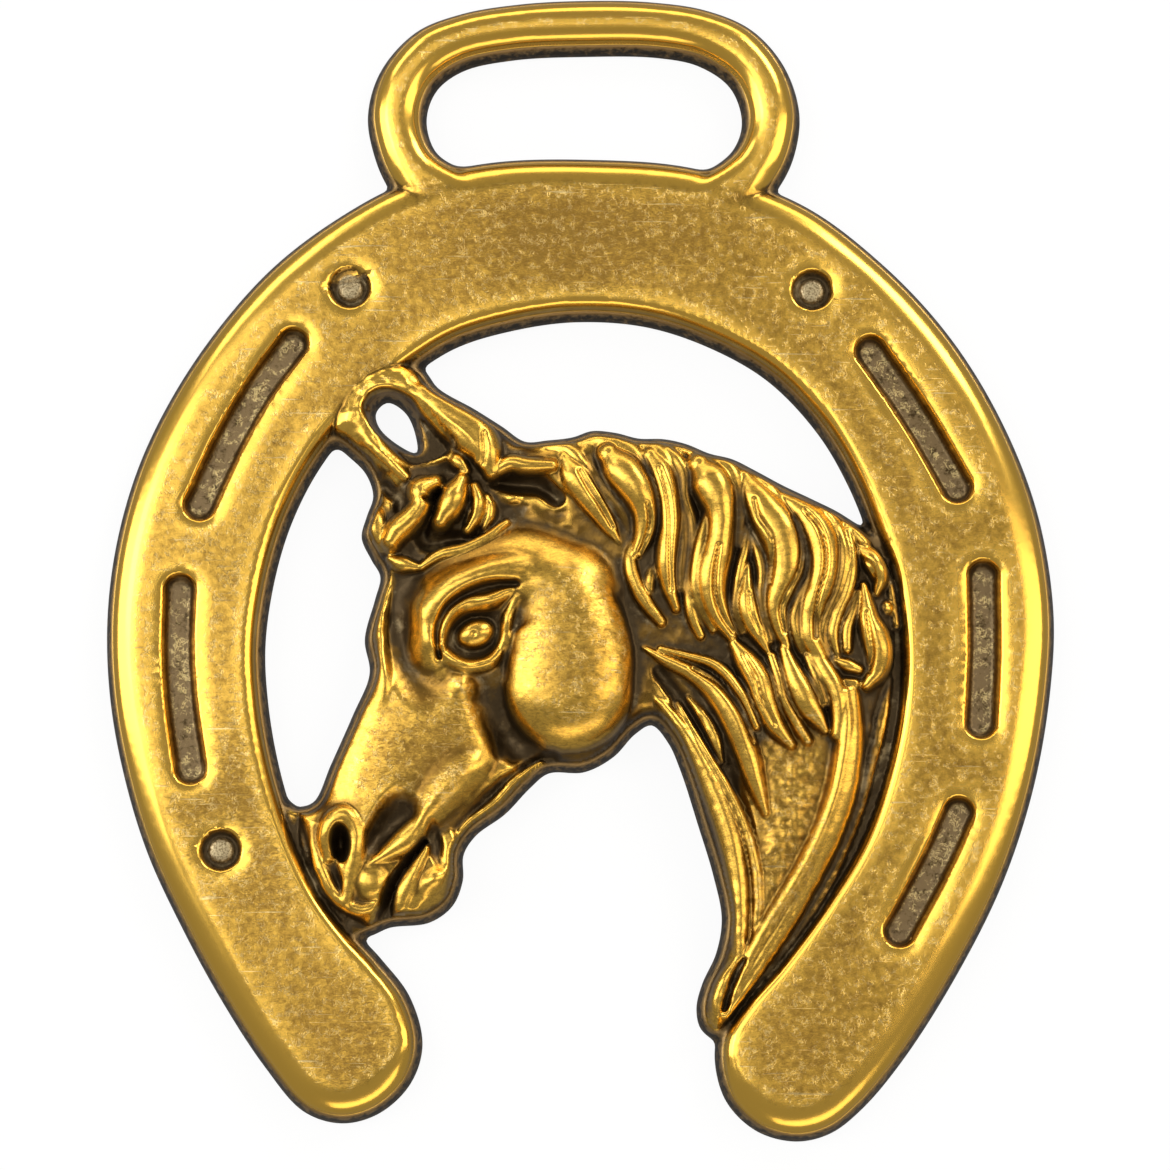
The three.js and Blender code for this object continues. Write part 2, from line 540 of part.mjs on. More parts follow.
// Closed block whose top is the relief, on rows of even triangles
function reliefBlock() {
  const box = new THREE.Box2().setFromPoints(HEAD.map(([x, y]) => new THREE.Vector2(x, y)));
  box.expandByScalar(1);
  const rowStep = RELIEF_STEP * Math.sqrt(0.75);
  const columns = Math.ceil((box.max.x - box.min.x) / RELIEF_STEP) + 2;
  const rowCount = Math.ceil((box.max.y - box.min.y) / rowStep) + 1;
  const points = [];
  const index = [];
  const at = (i, j) => j * columns + i;
  for (let j = 0; j < rowCount; j += 1) {
    for (let i = 0; i < columns; i += 1) {
      const x = box.min.x + (i - (j % 2) / 2) * RELIEF_STEP;
      const y = box.min.y + j * rowStep;
      points.push(new THREE.Vector3(x, y, headHeight(x, y)));
      if (i === 0 || j === 0) continue;
      const [a, b, c, d] = [at(i - 1, j - 1), at(i, j - 1), at(i, j), at(i - 1, j)];
      if (j % 2) index.push(a, b, c, a, c, d);
      else index.push(a, b, d, b, c, d);
    }
  }
  const rim = [];
  for (let i = 0; i < columns - 1; i += 1) rim.push(at(i, 0));
  for (let j = 0; j < rowCount - 1; j += 1) rim.push(at(columns - 1, j));
  for (let i = columns - 1; i > 0; i -= 1) rim.push(at(i, rowCount - 1));
  for (let j = rowCount - 1; j > 0; j -= 1) rim.push(at(0, j));
  const under = points.length;
  rim.forEach((top, k) => {
    const nextTop = rim[(k + 1) % rim.length];
    const [low, nextLow] = [under + k, under + ((k + 1) % rim.length)];
    points.push(new THREE.Vector3(points[top].x, points[top].y, BELOW));
    index.push(top, low, nextLow, top, nextLow, nextTop);
  });
  const floor = rim.map((top) => points[top]);
  for (const [a, b, c] of THREE.ShapeUtils.triangulateShape(floor, [])) {
    index.push(under + c, under + b, under + a);
  }
  return solidOf(new THREE.BufferGeometry().setFromPoints(points).setIndex(index));
}

function headSolid() {
  const outline = closedOutline(HEAD, HEAD_STEPS);
  const walls = loft([
    offsetRing(outline, BACK_ROUND, 0),
    offsetRing(outline, 0, BACK_ROUND_HEIGHT),
    offsetRing(outline, DRAFT, WALL_TOP),
    offsetRing(outline, DRAFT + LEDGE, ABOVE),
  ]);
  return walls.intersect(reliefBlock());
}

function castingMesh() {
  let casting = shoeSolid().add(hangerSolid()).add(headSolid());
  const earHole = closedOutline(EAR_HOLE, EAR_HOLE_STEPS);
  casting = casting.subtract(openingCutter(earHole, SHOE_FACE, EAR_HOLE_ROUND));
  for (const path of GROOVES) casting = casting.subtract(grooveCutter(path));
  for (const centre of NAILS) {
    casting = casting.subtract(nailCutter(centre)).add(nailHead(centre));
  }
  const { vertProperties, triVerts } = casting.getMesh();
  const geometry = new THREE.BufferGeometry();
  geometry.setAttribute('position', new THREE.BufferAttribute(vertProperties, 3));
  geometry.setIndex(new THREE.BufferAttribute(triVerts, 1));
  const brass = new THREE.MeshStandardMaterial({ color: 0xb58a35, roughness: 0.34, metalness: 1 });
  const mesh = new THREE.Mesh(geometry, brass);
  mesh.name = 'horse_brass';
  return mesh;
}

const horseBrass = new THREE.Group();
horseBrass.add(castingMesh());

export default horseBrass;
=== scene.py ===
"""Horse brass: the fine surface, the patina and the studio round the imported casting.

Lengths of the casting are in millimetres, in the CAD frame: X to the right, Y towards the
hanger, Z up from the flat back. MM turns them into Blender's metres.
"""

import math

import bpy
import numpy as np
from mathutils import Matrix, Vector
from mathutils.geometry import delaunay_2d_cdt


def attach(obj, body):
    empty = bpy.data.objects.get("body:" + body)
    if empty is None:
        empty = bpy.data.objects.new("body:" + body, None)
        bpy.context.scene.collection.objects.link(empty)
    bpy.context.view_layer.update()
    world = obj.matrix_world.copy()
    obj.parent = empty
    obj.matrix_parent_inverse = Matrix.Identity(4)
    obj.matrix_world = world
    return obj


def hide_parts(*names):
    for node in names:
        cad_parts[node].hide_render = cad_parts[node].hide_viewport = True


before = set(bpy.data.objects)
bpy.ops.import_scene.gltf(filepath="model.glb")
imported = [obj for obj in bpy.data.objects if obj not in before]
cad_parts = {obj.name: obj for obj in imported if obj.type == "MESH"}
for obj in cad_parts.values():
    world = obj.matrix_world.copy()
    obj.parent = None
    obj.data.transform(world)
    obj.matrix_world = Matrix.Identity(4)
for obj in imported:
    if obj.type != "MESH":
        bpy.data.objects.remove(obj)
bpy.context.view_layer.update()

# Heights over the back, and the profile of a cast edge
SHOE_FACE = 3.2
HANGER_FACE = 3.1
WEB_FACE = 2.0
WALL_TOP = 1.85
BACK_ROUND_HEIGHT = 0.3
BACK_ROUND = 0.15
DRAFT = 0.5
LEDGE = 0.12
INNER_ROUND = 0.9
OUTER_ROUND = 2.4
HANGER_ROUND = 1.5

# How softly the parts of the casting run into each other, in plan and in height
HANGER_BLEND = 0.5
HEAD_BLEND = 0.7
FACE_BLEND = 0.25

# Nail grooves and nail heads sunk in the shoe's face
GROOVE_FLOOR = 1.95
GROOVE_HALF_WIDTH = 1.35
GROOVE_FLOOR_HALF_WIDTH = 0.75
NAIL_HOLE_RADIUS = 1.7
NAIL_FLOOR_RADIUS = 1.3
NAIL_FLOOR = 2.2
NAIL_RADIUS = 1.05
NAIL_TOP = 2.6
RIM_WIDTH = 0.55
RIM_DROP = 0.1

# Outlines at the back face: points through which a smooth closed curve runs
SHOE = [
    (0.5, 32.4), (9, 31.7), (17.5, 28.8), (23.8, 24.1), (29.2, 18.2), (33.3, 11.4),
    (36.1, 4), (37.3, -3.8), (37, -10.1), (35.6, -17.8), (33.1, -25.3), (29.5, -32.4),
    (25.2, -39.1), (21.9, -43), (19.4, -44.9), (16.7, -45.5), (13.7, -44.7), (11.4, -42.5),
    (10.5, -39.6), (10.7, -37.2), (12.4, -34.4), (15, -31.4), (18.3, -27), (21.4, -21.9),
    (23.4, -16.2), (24.4, -11), (24.5, -6.4), (24, -1.9), (22.9, 1.6), (21.2, 6),
    (18.8, 10.2), (14.9, 14.4), (10.3, 17.1), (5.2, 18.8), (-0.4, 19.2), (-5.4, 18.5),
    (-9.9, 17.1), (-13.6, 14.7), (-17.2, 11.7), (-20.4, 7.8), (-22.6, 3.6), (-24, -0.9),
    (-24.8, -6.4), (-24.6, -10.9), (-23.7, -16.1), (-22.2, -21), (-20, -25.8),
    (-17.7, -29), (-15.5, -31.4), (-13.3, -34.3), (-12.3, -38), (-13.2, -41),
    (-15.6, -43.3), (-18.5, -44.1), (-21.5, -43.2), (-24.6, -39.7), (-28.1, -34.4),
    (-31.2, -28.8), (-33.9, -23.1), (-35.8, -17.1), (-37, -10.9), (-37.3, -4.5),
    (-36.6, 1.7), (-34.9, 7.8), (-32.2, 13.5), (-28.7, 18.8), (-24.5, 23.6),
    (-19.5, 27.5), (-14, 30.5), (-7.5, 32.1),
]
HANGER = [
    (0, 45.4), (5.5, 45.3), (10.1, 44.6), (13.7, 43), (16.3, 40), (17.5, 36.2),
    (17.1, 32.8), (15.9, 30.2), (13.5, 27.5), (0, 27), (-13.4, 27.8), (-15.4, 30.2),
    (-16.5, 32.8), (-17, 36), (-16, 39.6), (-13.2, 42.8), (-9.6, 44.3), (-5, 45.1),
]
SLOT = [
    (0.5, 40.8), (6.2, 40.7), (9.5, 40), (12, 38.2), (12.9, 35.4), (12.2, 33.2),
    (10.4, 31.7), (8.3, 31), (0.5, 31), (-7.5, 31.2), (-10, 31.9), (-11.6, 33.1),
    (-12.3, 35.6), (-11.5, 38), (-9.4, 39.6), (-5.4, 40.5),
]
HEAD = [
    (-14, 16.2), (-12.3, 15.2), (-11.3, 13.9), (-8.4, 12.2), (-6.2, 10.8), (-4.4, 9.6),
    (-2.6, 9.7), (-0.6, 9.95), (0.9, 10.45), (2.8, 10.3), (4.6, 9.85), (6.6, 9.8),
    (8.4, 9.4), (10.2, 8.65), (12, 8.2), (13.8, 7.3), (16, 6.1), (18.4, 4.95),
    (20.8, 3.7), (23.5, 1.5), (26, -4), (26, -12), (23.5, -21), (19.5, -28),
    (15.5, -33), (12.5, -36.3), (10.6, -37.6), (9.4, -36.8), (9.05, -35.2), (9.5, -33.3),
    (10.6, -30.9), (11.05, -28.2), (10.4, -24.8), (9.2, -20.8), (7.9, -16.7),
    (6.9, -14.4), (5.6, -13), (4.3, -13.7), (2.6, -15.5), (0.3, -16.7), (-2.5, -16.8),
    (-3.9, -17.9), (-5.9, -20), (-8.2, -21.7), (-9.15, -23.2), (-9.2, -25.2),
    (-10, -27.2), (-11.8, -28.5), (-14.9, -28.9), (-16.3, -29.5), (-18.5, -30),
    (-22, -26.5), (-23.8, -22), (-23, -19.2), (-22, -19.4), (-20.9, -19), (-19.6, -16.1),
    (-17.9, -12.2), (-16.6, -8.9), (-17, -6.2), (-16.2, -3), (-15.8, -1.2), (-16.5, 0.1),
    (-17.3, 1.9), (-16.9, 3.6), (-16.4, 5.2), (-17, 7), (-18.6, 8.6), (-20.2, 10),
    (-19.5, 13.5), (-16.5, 16),
]
EAR_HOLE = [
    (-15.3, 12.7), (-16.2, 11.9), (-16, 10.8), (-14.7, 9.5), (-13, 8.7), (-13.1, 10.2),
    (-13.9, 11.9),
]

# Sunk place between the ears that the hole opens from
EAR_POCKET = [
    (-13, 13.1), (-15.2, 14), (-17, 13.4), (-17.7, 12), (-17.2, 10.5), (-16, 8.9),
    (-14.6, 7.5), (-13.4, 6.7), (-11.5, 7), (-10, 7.9), (-9.7, 8.9), (-10.9, 10.4),
    (-12, 11.7),
]

# Where the head's relief stops short of the shoe and leaves the web bare
NECK_FOOT = [
    (21.2, 4.4), (22.6, 1.8), (23.8, -1.4), (24.5, -4.9), (24.5, -8.5), (23.5, -11.2),
    (22.6, -14.4), (21.8, -17.9), (20.6, -21.4), (19, -24.9), (17.2, -28.3),
    (15.3, -31.3), (13.3, -34), (11.4, -36.3), (10.2, -38.5),
]
MUZZLE_FOOT = [
    (-23.5, -16.7), (-22.1, -19.5), (-21.6, -21.8), (-20.9, -24), (-19.7, -26.2),
    (-18.1, -28), (-16.2, -29), (-14.4, -29.8),
]
GROOVES = [
    [(-22.7, 17), (-25.1, 13.7), (-27.4, 9.7), (-29.9, 4.2)],
    [(-31.4, -2.6), (-31.5, -7), (-31.2, -11.3), (-30.4, -16.6)],
    [(22.9, 16.4), (25, 13.4), (27.1, 10.1), (29.6, 5.6)],
    [(31.6, -1.5), (31.6, -7.4), (31.3, -13)],
    [(29.5, -20.1), (27.8, -23.8), (24.8, -29.3)],
]
NAILS = [(-18.2, 21.5), (18.3, 21.3), (-28, -23)]

# Grid on which distances and hollows are worked out
CELL = 0.1
GRID_X = np.arange(-38.5, 38.55, CELL)
GRID_Y = np.arange(-46.6, 46.65, CELL)
FAR = 4.0

# A height that never shows
BELOW_ALL = -9.0


# Curves and distances

def curve(points, closed=False, step=0.25):
    """Centripetal Catmull-Rom curve through the points; further columns run along with it."""
    rows = np.array(points, float)
    count = len(rows)
    if count == 2 and not closed:
        t = np.linspace(0, 1, max(3, int(np.hypot(*(rows[1] - rows[0])[:2]) / step)))[:, None]
        return rows[0] * (1 - t) + rows[1] * t
    pieces = []
    for i in range(count if closed else count - 1):
        if closed:
            a, b, c, d = rows[i - 1], rows[i], rows[(i + 1) % count], rows[(i + 2) % count]
        else:
            b, c = rows[i], rows[i + 1]
            a = rows[i - 1] if i > 0 else 2 * b - c
            d = rows[i + 2] if i + 2 < count else 2 * c - b
        t0 = 0.0
        t1 = t0 + max(1e-4, np.hypot(*(b - a)[:2])) ** 0.5
        t2 = t1 + max(1e-4, np.hypot(*(c - b)[:2])) ** 0.5
        t3 = t2 + max(1e-4, np.hypot(*(d - c)[:2])) ** 0.5
        steps = max(2, int(np.ceil(np.hypot(*(c - b)[:2]) / step)))
        t = (t1 + (t2 - t1) * np.arange(steps) / steps)[:, None]
        a1 = (t1 - t) / (t1 - t0) * a + (t - t0) / (t1 - t0) * b
        a2 = (t2 - t) / (t2 - t1) * b + (t - t1) / (t2 - t1) * c
        a3 = (t3 - t) / (t3 - t2) * c + (t - t2) / (t3 - t2) * d
        b1 = (t2 - t) / (t2 - t0) * a1 + (t - t0) / (t2 - t0) * a2
        b2 = (t3 - t) / (t3 - t1) * a2 + (t - t1) / (t3 - t1) * a3
        pieces.append((t2 - t) / (t2 - t1) * b1 + (t - t1) / (t2 - t1) * b2)
    if not closed:
        pieces.append(rows[-1:])
    return np.vstack(pieces)


def distance_grid(outline):
    """Distance inside a closed outline on the grid, negative outside, held at FAR."""
    ring = curve(outline, True)
    following = np.roll(ring, -1, axis=0)
    nearest = np.full((len(GRID_Y), len(GRID_X)), FAR ** 2)
    for a, b in zip(ring, following):
        low = np.minimum(a, b) - FAR
        high = np.maximum(a, b) + FAR
        i0, i1 = np.searchsorted(GRID_X, (low[0], high[0]))
        j0, j1 = np.searchsorted(GRID_Y, (low[1], high[1]))
        x = GRID_X[None, i0:i1] - a[0]
        y = GRID_Y[j0:j1, None] - a[1]
        edge = b - a
        t = np.clip((x * edge[0] + y * edge[1]) / max(edge @ edge, 1e-12), 0, 1)
        block = nearest[j0:j1, i0:i1]
        np.minimum(block, (x - t * edge[0]) ** 2 + (y - t * edge[1]) ** 2, out=block)
    inside = np.zeros(nearest.shape, bool)
    for j, y in enumerate(GRID_Y):
        crosses = (ring[:, 1] <= y) != (following[:, 1] <= y)
        a, b = ring[crosses], following[crosses]
        at = a[:, 0] + (y - a[:, 1]) / (b[:, 1] - a[:, 1]) * (b[:, 0] - a[:, 0])
        inside[j] = np.searchsorted(np.sort(at), GRID_X) % 2 == 1
    return np.where(inside, 1, -1) * np.sqrt(nearest)


def sample(grid, x, y):
    """Grid value at each place, by linear interpolation."""
    fx = np.clip((x - GRID_X[0]) / CELL, 0, len(GRID_X) - 1.001)
    fy = np.clip((y - GRID_Y[0]) / CELL, 0, len(GRID_Y) - 1.001)
    i, j = fx.astype(int), fy.astype(int)
    u, v = fx - i, fy - j
    low = grid[j, i] * (1 - u) + grid[j, i + 1] * u
    high = grid[j + 1, i] * (1 - u) + grid[j + 1, i + 1] * u
    return low * (1 - v) + high * v


def nearest_on(path, x, y):
    """Distance to a path, its further columns at the nearest place, and the side of it."""
    best = np.full(x.shape, np.inf)
    side = np.zeros(x.shape)
    columns = np.zeros((path.shape[1] - 2,) + x.shape)
    for a, b in zip(path[:-1], path[1:]):
        ex, ey = b[0] - a[0], b[1] - a[1]
        t = np.clip(((x - a[0]) * ex + (y - a[1]) * ey) / (ex * ex + ey * ey + 1e-12), 0, 1)
        dx, dy = x - a[0] - t * ex, y - a[1] - t * ey
        square = dx * dx + dy * dy
        closer = square < best
        best = np.where(closer, square, best)
        side = np.where(closer, np.sign(ex * dy - ey * dx), side)
        for k in range(len(columns)):
            columns[k] = np.where(closer, a[2 + k] + (b[2 + k] - a[2 + k]) * t, columns[k])
    return np.sqrt(best), columns, side


def smooth_max(a, b, blend):
    """The larger value, rounded where the two come within a blend of each other."""
    h = np.clip(0.5 + 0.5 * (a - b) / blend, 0, 1)
    return b + (a - b) * h + blend * h * (1 - h)


def lumps(x, y, size, seed):
    """Seeded smooth unevenness from -1 to 1, with lumps of about one size."""
    table = np.random.default_rng(seed).uniform(-1, 1, (257, 257))
    u, v = (x - GRID_X[0]) / size % 256, (y - GRID_Y[0]) / size % 256
    i, j = u.astype(int), v.astype(int)
    u, v = smooth_step(u - i, 0, 1), smooth_step(v - j, 0, 1)
    low = table[j, i] * (1 - u) + table[j, i + 1] * u
    high = table[j + 1, i] * (1 - u) + table[j + 1, i + 1] * u
    return low * (1 - v) + high * v


def smooth_step(value, low, high):
    """0 below low, 1 above high, and an even curve between them."""
    t = np.clip((value - low) / (high - low), 0, 1)
    return t * t * (3 - 2 * t)


# Relief forms, laid one after another on the heights of a set of places

class Relief:
    """Heights at a set of places, and the forms that are laid on them."""

    def __init__(self, x, y, z):
        self.x, self.y, self.z = x, y, z

    def near(self, path, reach):
        """Numbers of the places in the box round a path."""
        low = path[:, :2].min(axis=0) - reach
        high = path[:, :2].max(axis=0) + reach
        inside = (self.x > low[0]) & (self.x < high[0]) & (self.y > low[1]) & (self.y < high[1])
        return np.nonzero(inside)[0]

    def along(self, rows):
        """Places near a path, how far across it they lie from 0 to 1, and its columns."""
        path = curve(rows, False, 0.35)
        at = self.near(path, path[:, 2].max())
        distance, columns, side = nearest_on(path, self.x[at], self.y[at])
        return at, np.clip(distance / np.maximum(columns[0], 1e-3), 0, 1), columns

    def ridge(self, rows, drop, blend=0.1, fullness=2.0, power=0.5):
        """Rounded ridge; rows are (x, y, half width, crest height)."""
        at, t, columns = self.along(rows)
        top = columns[1] - drop * (1 - (1 - t ** fullness) ** power)
        top = np.where(t >= 1, BELOW_ALL, top)
        self.z[at] = smooth_max(top, self.z[at], blend)

    def lock(self, rows, drop):
        """Ridge widened until it meets its neighbours."""
        widening = 0.14
        rows = [(x, y, half_width + widening, crest) for x, y, half_width, crest in rows]
        self.ridge(rows, drop, 0.06, 2.3)

    def swelling(self, rows, rise, power=2):
        """Soft rise added to the height; rows are (x, y, half width, share of the rise)."""
        at, t, columns = self.along(rows)
        self.z[at] += rise * columns[1] * (1 - t * t) ** power

    def hollow(self, rows, depth, power=2):
        """Soft dip taken from the height."""
        self.swelling(rows, -depth, power)

    def crease(self, rows, depth):
        """Sharp groove; rows are (x, y, half width)."""
        at, t, columns = self.along(rows)
        self.z[at] -= depth * (1 - t) ** 1.5

    def across(self, centre, radii, degrees):
        """Distance from the centre of a turned ellipse, 1 on its line."""
        turn = math.radians(degrees)
        dx, dy = self.x - centre[0], self.y - centre[1]
        u = (dx * math.cos(turn) + dy * math.sin(turn)) / radii[0]
        v = (dy * math.cos(turn) - dx * math.sin(turn)) / radii[1]
        return np.hypot(u, v)

    def dome(self, centre, radii, degrees, base, crest, fullness=2.0, power=0.5, blend=0.2):
        t = self.across(centre, radii, degrees)
        at = np.nonzero(t < 1)[0]
        top = base + (crest - base) * (1 - t[at] ** fullness) ** power
        self.z[at] = smooth_max(top, self.z[at], blend)

    def bump(self, centre, radii, degrees, rise, power=2):
        t = self.across(centre, radii, degrees)
        at = np.nonzero(t < 1)[0]
        self.z[at] += rise * (1 - t[at] ** 2) ** power


def mane_ground(relief):
    """Soft rise that the locks lie on."""
    relief.swelling([
        (-0.8, 6, 4.7, 1), (5.4, 2, 5.9, 1), (12.5, -2, 6.3, 1), (18.7, -5.1, 5.5, 1),
        (21, -8.2, 3.2, 1),
    ], 0.5, 1)


def face_masses(relief):
    """Nose, chin, forehead, and the broad cheek with its steep rim."""
    relief.ridge([
        (-3.2, -2.8, 4.7, 4.8), (-8.6, -5.2, 5.2, 4.7), (-10.5, -8.9, 5.9, 4.8),
        (-11.8, -13, 6.3, 4.9), (-14, -17.3, 5.9, 4.7), (-15.8, -21.2, 4.6, 4.4),
        (-16.8, -24.1, 3.5, 4.1),
    ], 2.4, 0.5, 2.6)
    relief.ridge([(-10.2, -22.4, 2, 3.6), (-11.6, -25, 2.3, 4), (-13, -26.8, 1.7, 3.8)], 1.5, 0.3)
    relief.ridge([
        (-12.0, -4.2, 3.2, 4.8), (-9, -2.4, 4.0, 5.3), (-5, -1.6, 4.4, 5.7), (-0.9, -2.8, 4.3, 5.9),
    ], 2.6, 0.6, 2.0, 0.9)
    relief.ridge([
        (-2.6, -2.6, 3.2, 5.8), (-1.4, -4.6, 4.5, 6.2), (-0.9, -7.5, 5.1, 6.4),
        (-1.0, -10.3, 5.2, 6.35),
    ], 3.3, 0.7, 2.6)
    relief.hollow([
        (-7.6, -8.4, 1.2, 0), (-7.6, -10.4, 1.8, 0.8), (-6.7, -12.8, 2.0, 1),
        (-5.0, -15.0, 1.9, 1), (-2.8, -16.4, 1.4, 0.6),
    ], 1.0)


def brow_and_eye(relief):
    """Valley behind the profile, orbit, socket, eyeball and lids."""
    relief.hollow([
        (-13.6, -0.4, 1.6, 0.3), (-13.9, -2.6, 1.9, 0.9), (-14.0, -5, 1.9, 1),
        (-13.5, -8, 2.2, 1), (-12.2, -10.2, 2.3, 0.8), (-10.5, -11.8, 2.1, 0),
    ], 0.9)
    relief.swelling([
        (-15.2, -1.3, 0.7, 0.4), (-15.6, -4, 0.9, 1), (-15.7, -7, 0.9, 1), (-15.4, -10, 0.9, 0.7),
        (-16.0, -12.8, 0.9, 0),
    ], 0.6)
    relief.swelling([
        (-11.3, -9.2, 1.2, 0.1), (-12.0, -7.4, 1.8, 1), (-11.8, -5.2, 2.0, 1),
        (-10.4, -3.1, 1.9, 1), (-8.2, -1.9, 1.6, 0.9), (-5.4, -1.2, 1.4, 0.5), (-3.5, -1.2, 1, 0),
    ], 0.95, 1.5)
    relief.bump((-8.3, -6.1), (2.8, 2.8), 25, -1.25, 1.5)
    relief.crease([
        (-11.0, -8.1, 0.35), (-11.1, -6.2, 0.5), (-10.4, -4.4, 0.6), (-8.7, -3.1, 0.65),
        (-6.8, -2.5, 0.6), (-5.0, -2.4, 0.4),
    ], 0.85)
    relief.swelling([
        (-10.8, -7.2, 0.5, 0.3), (-10.4, -5.5, 0.8, 1), (-9.1, -4.4, 0.95, 1),
        (-7.3, -3.9, 0.85, 1), (-5.5, -3.0, 0.5, 0.2),
    ], 0.95, 1.2)
    relief.dome((-8.2, -6.2), (1.7, 1.25), 22, 3.8, 5.15, 2, 0.5, 0.08)
    relief.bump((-8.3, -6.3), (0.3, 0.3), 0, -0.2)
    relief.swelling([
        (-10.8, -7.3, 0.5, 0.4), (-9.9, -8.3, 0.7, 1), (-8.3, -8.8, 0.75, 1),
        (-6.8, -8.2, 0.75, 1), (-6.0, -6.8, 0.7, 1), (-5.7, -5.2, 0.65, 1), (-5.0, -3.6, 0.45, 0.3),
    ], 0.65, 1.2)
    relief.bump((-9.0, -10.4), (1.7, 1.3), -10, 0.5)


def jaw(relief):
    """Swelling from the muzzle to the cheek, and the rim of the jaw."""
    relief.swelling([
        (-12.8, -21.6, 1.0, 0.5), (-11.2, -19.5, 1.9, 1), (-9.4, -17.7, 2.3, 1),
        (-7.8, -16.7, 2.0, 0.7), (-6.4, -16, 1.5, 0),
    ], 0.9)
    relief.hollow([
        (-2.2, -15.8, 0.9, 0.8), (-5.1, -17.6, 1.1, 1), (-7, -19.4, 1.2, 1), (-9.2, -21.6, 1.0, 0.6),
    ], 0.9)
    relief.ridge([
        (-3.1, -16.4, 0.45, 3.1), (-5.1, -17.7, 0.55, 3.2), (-6.9, -19.5, 0.55, 3.2),
        (-9.1, -21.4, 0.55, 3.2), (-9.8, -22.7, 0.4, 3.1),
    ], 0.8, 0.3)


def muzzle_forms(relief):
    """Nostril, lips, mouth and chin."""
    relief.hollow([
        (-16.5, -23.5, 0.7, 0.2), (-15.5, -21.9, 1.5, 1), (-14.2, -20.2, 1.8, 1),
        (-12.9, -18.7, 1.6, 0.1),
    ], 1.5, 1.5)
    relief.ridge([
        (-16.4, -24.2, 0.3, 4.1), (-14.9, -23.3, 0.8, 4.5), (-13.5, -22.3, 1.1, 4.8),
        (-12.5, -21.1, 0.9, 4.7), (-11.5, -19.9, 0.5, 4.5),
    ], 1.2, 0.3)
    relief.ridge([
        (-19.6, -23.6, 0.6, 4.0), (-19.7, -22.0, 0.8, 4.5), (-19.2, -20.9, 0.95, 4.7),
        (-18.3, -20.4, 0.95, 4.8), (-17.5, -21.4, 0.9, 4.7), (-17.5, -23.4, 0.85, 4.6),
        (-17.8, -25.0, 0.85, 4.3), (-18.2, -27.1, 0.65, 3.9),
    ], 1.2, 0.35)
    relief.bump((-18.65, -22.5), (0.85, 1.6), 6, -2.0, 1.1)
    relief.hollow([(-19.1, -24.2, 0.5, 0.5), (-19.0, -25.4, 0.6, 1), (-18.7, -26.5, 0.4, 0.3)], 0.6)
    relief.dome((-16.2, -25.5), (1.6, 1.7), 0, 2.6, 4.3, 2.4, 0.5, 0.4)
    relief.ridge([
        (-20.9, -20.8, 0.4, 3.2), (-20.6, -22.8, 0.6, 3.5), (-20.0, -24.7, 0.7, 3.7),
        (-18.9, -26.6, 0.7, 3.7), (-17.3, -27.6, 0.7, 3.7), (-15.9, -27.3, 0.65, 3.7),
        (-15.2, -26.3, 0.4, 3.7),
    ], 1.2, 0.25)
    relief.crease([
        (-12.1, -22.4, 0.4), (-12.7, -23.5, 0.7), (-13.6, -24.8, 0.9), (-14.5, -26.3, 1.0),
        (-15.2, -28.1, 1.0),
    ], 1.8)
    relief.ridge([
        (-11.9, -22.9, 0.35, 4.1), (-12.8, -24.6, 0.65, 4.3), (-13.6, -26.4, 0.85, 4.2),
        (-14.0, -27.9, 0.6, 3.8),
    ], 1.0, 0.25)
    relief.bump((-11.3, -25.4), (1.7, 1.1), 45, 0.5)
    relief.hollow([(-11.5, -21.0, 0.5, 0.4), (-11.2, -22.8, 0.8, 1), (-10.9, -24.4, 0.5, 0.3)], 0.6)
    relief.hollow([(-9.7, -24.0, 0.5, 0.5), (-10.3, -26.1, 0.6, 1), (-12.1, -27.7, 0.6, 0.8)], 0.4)


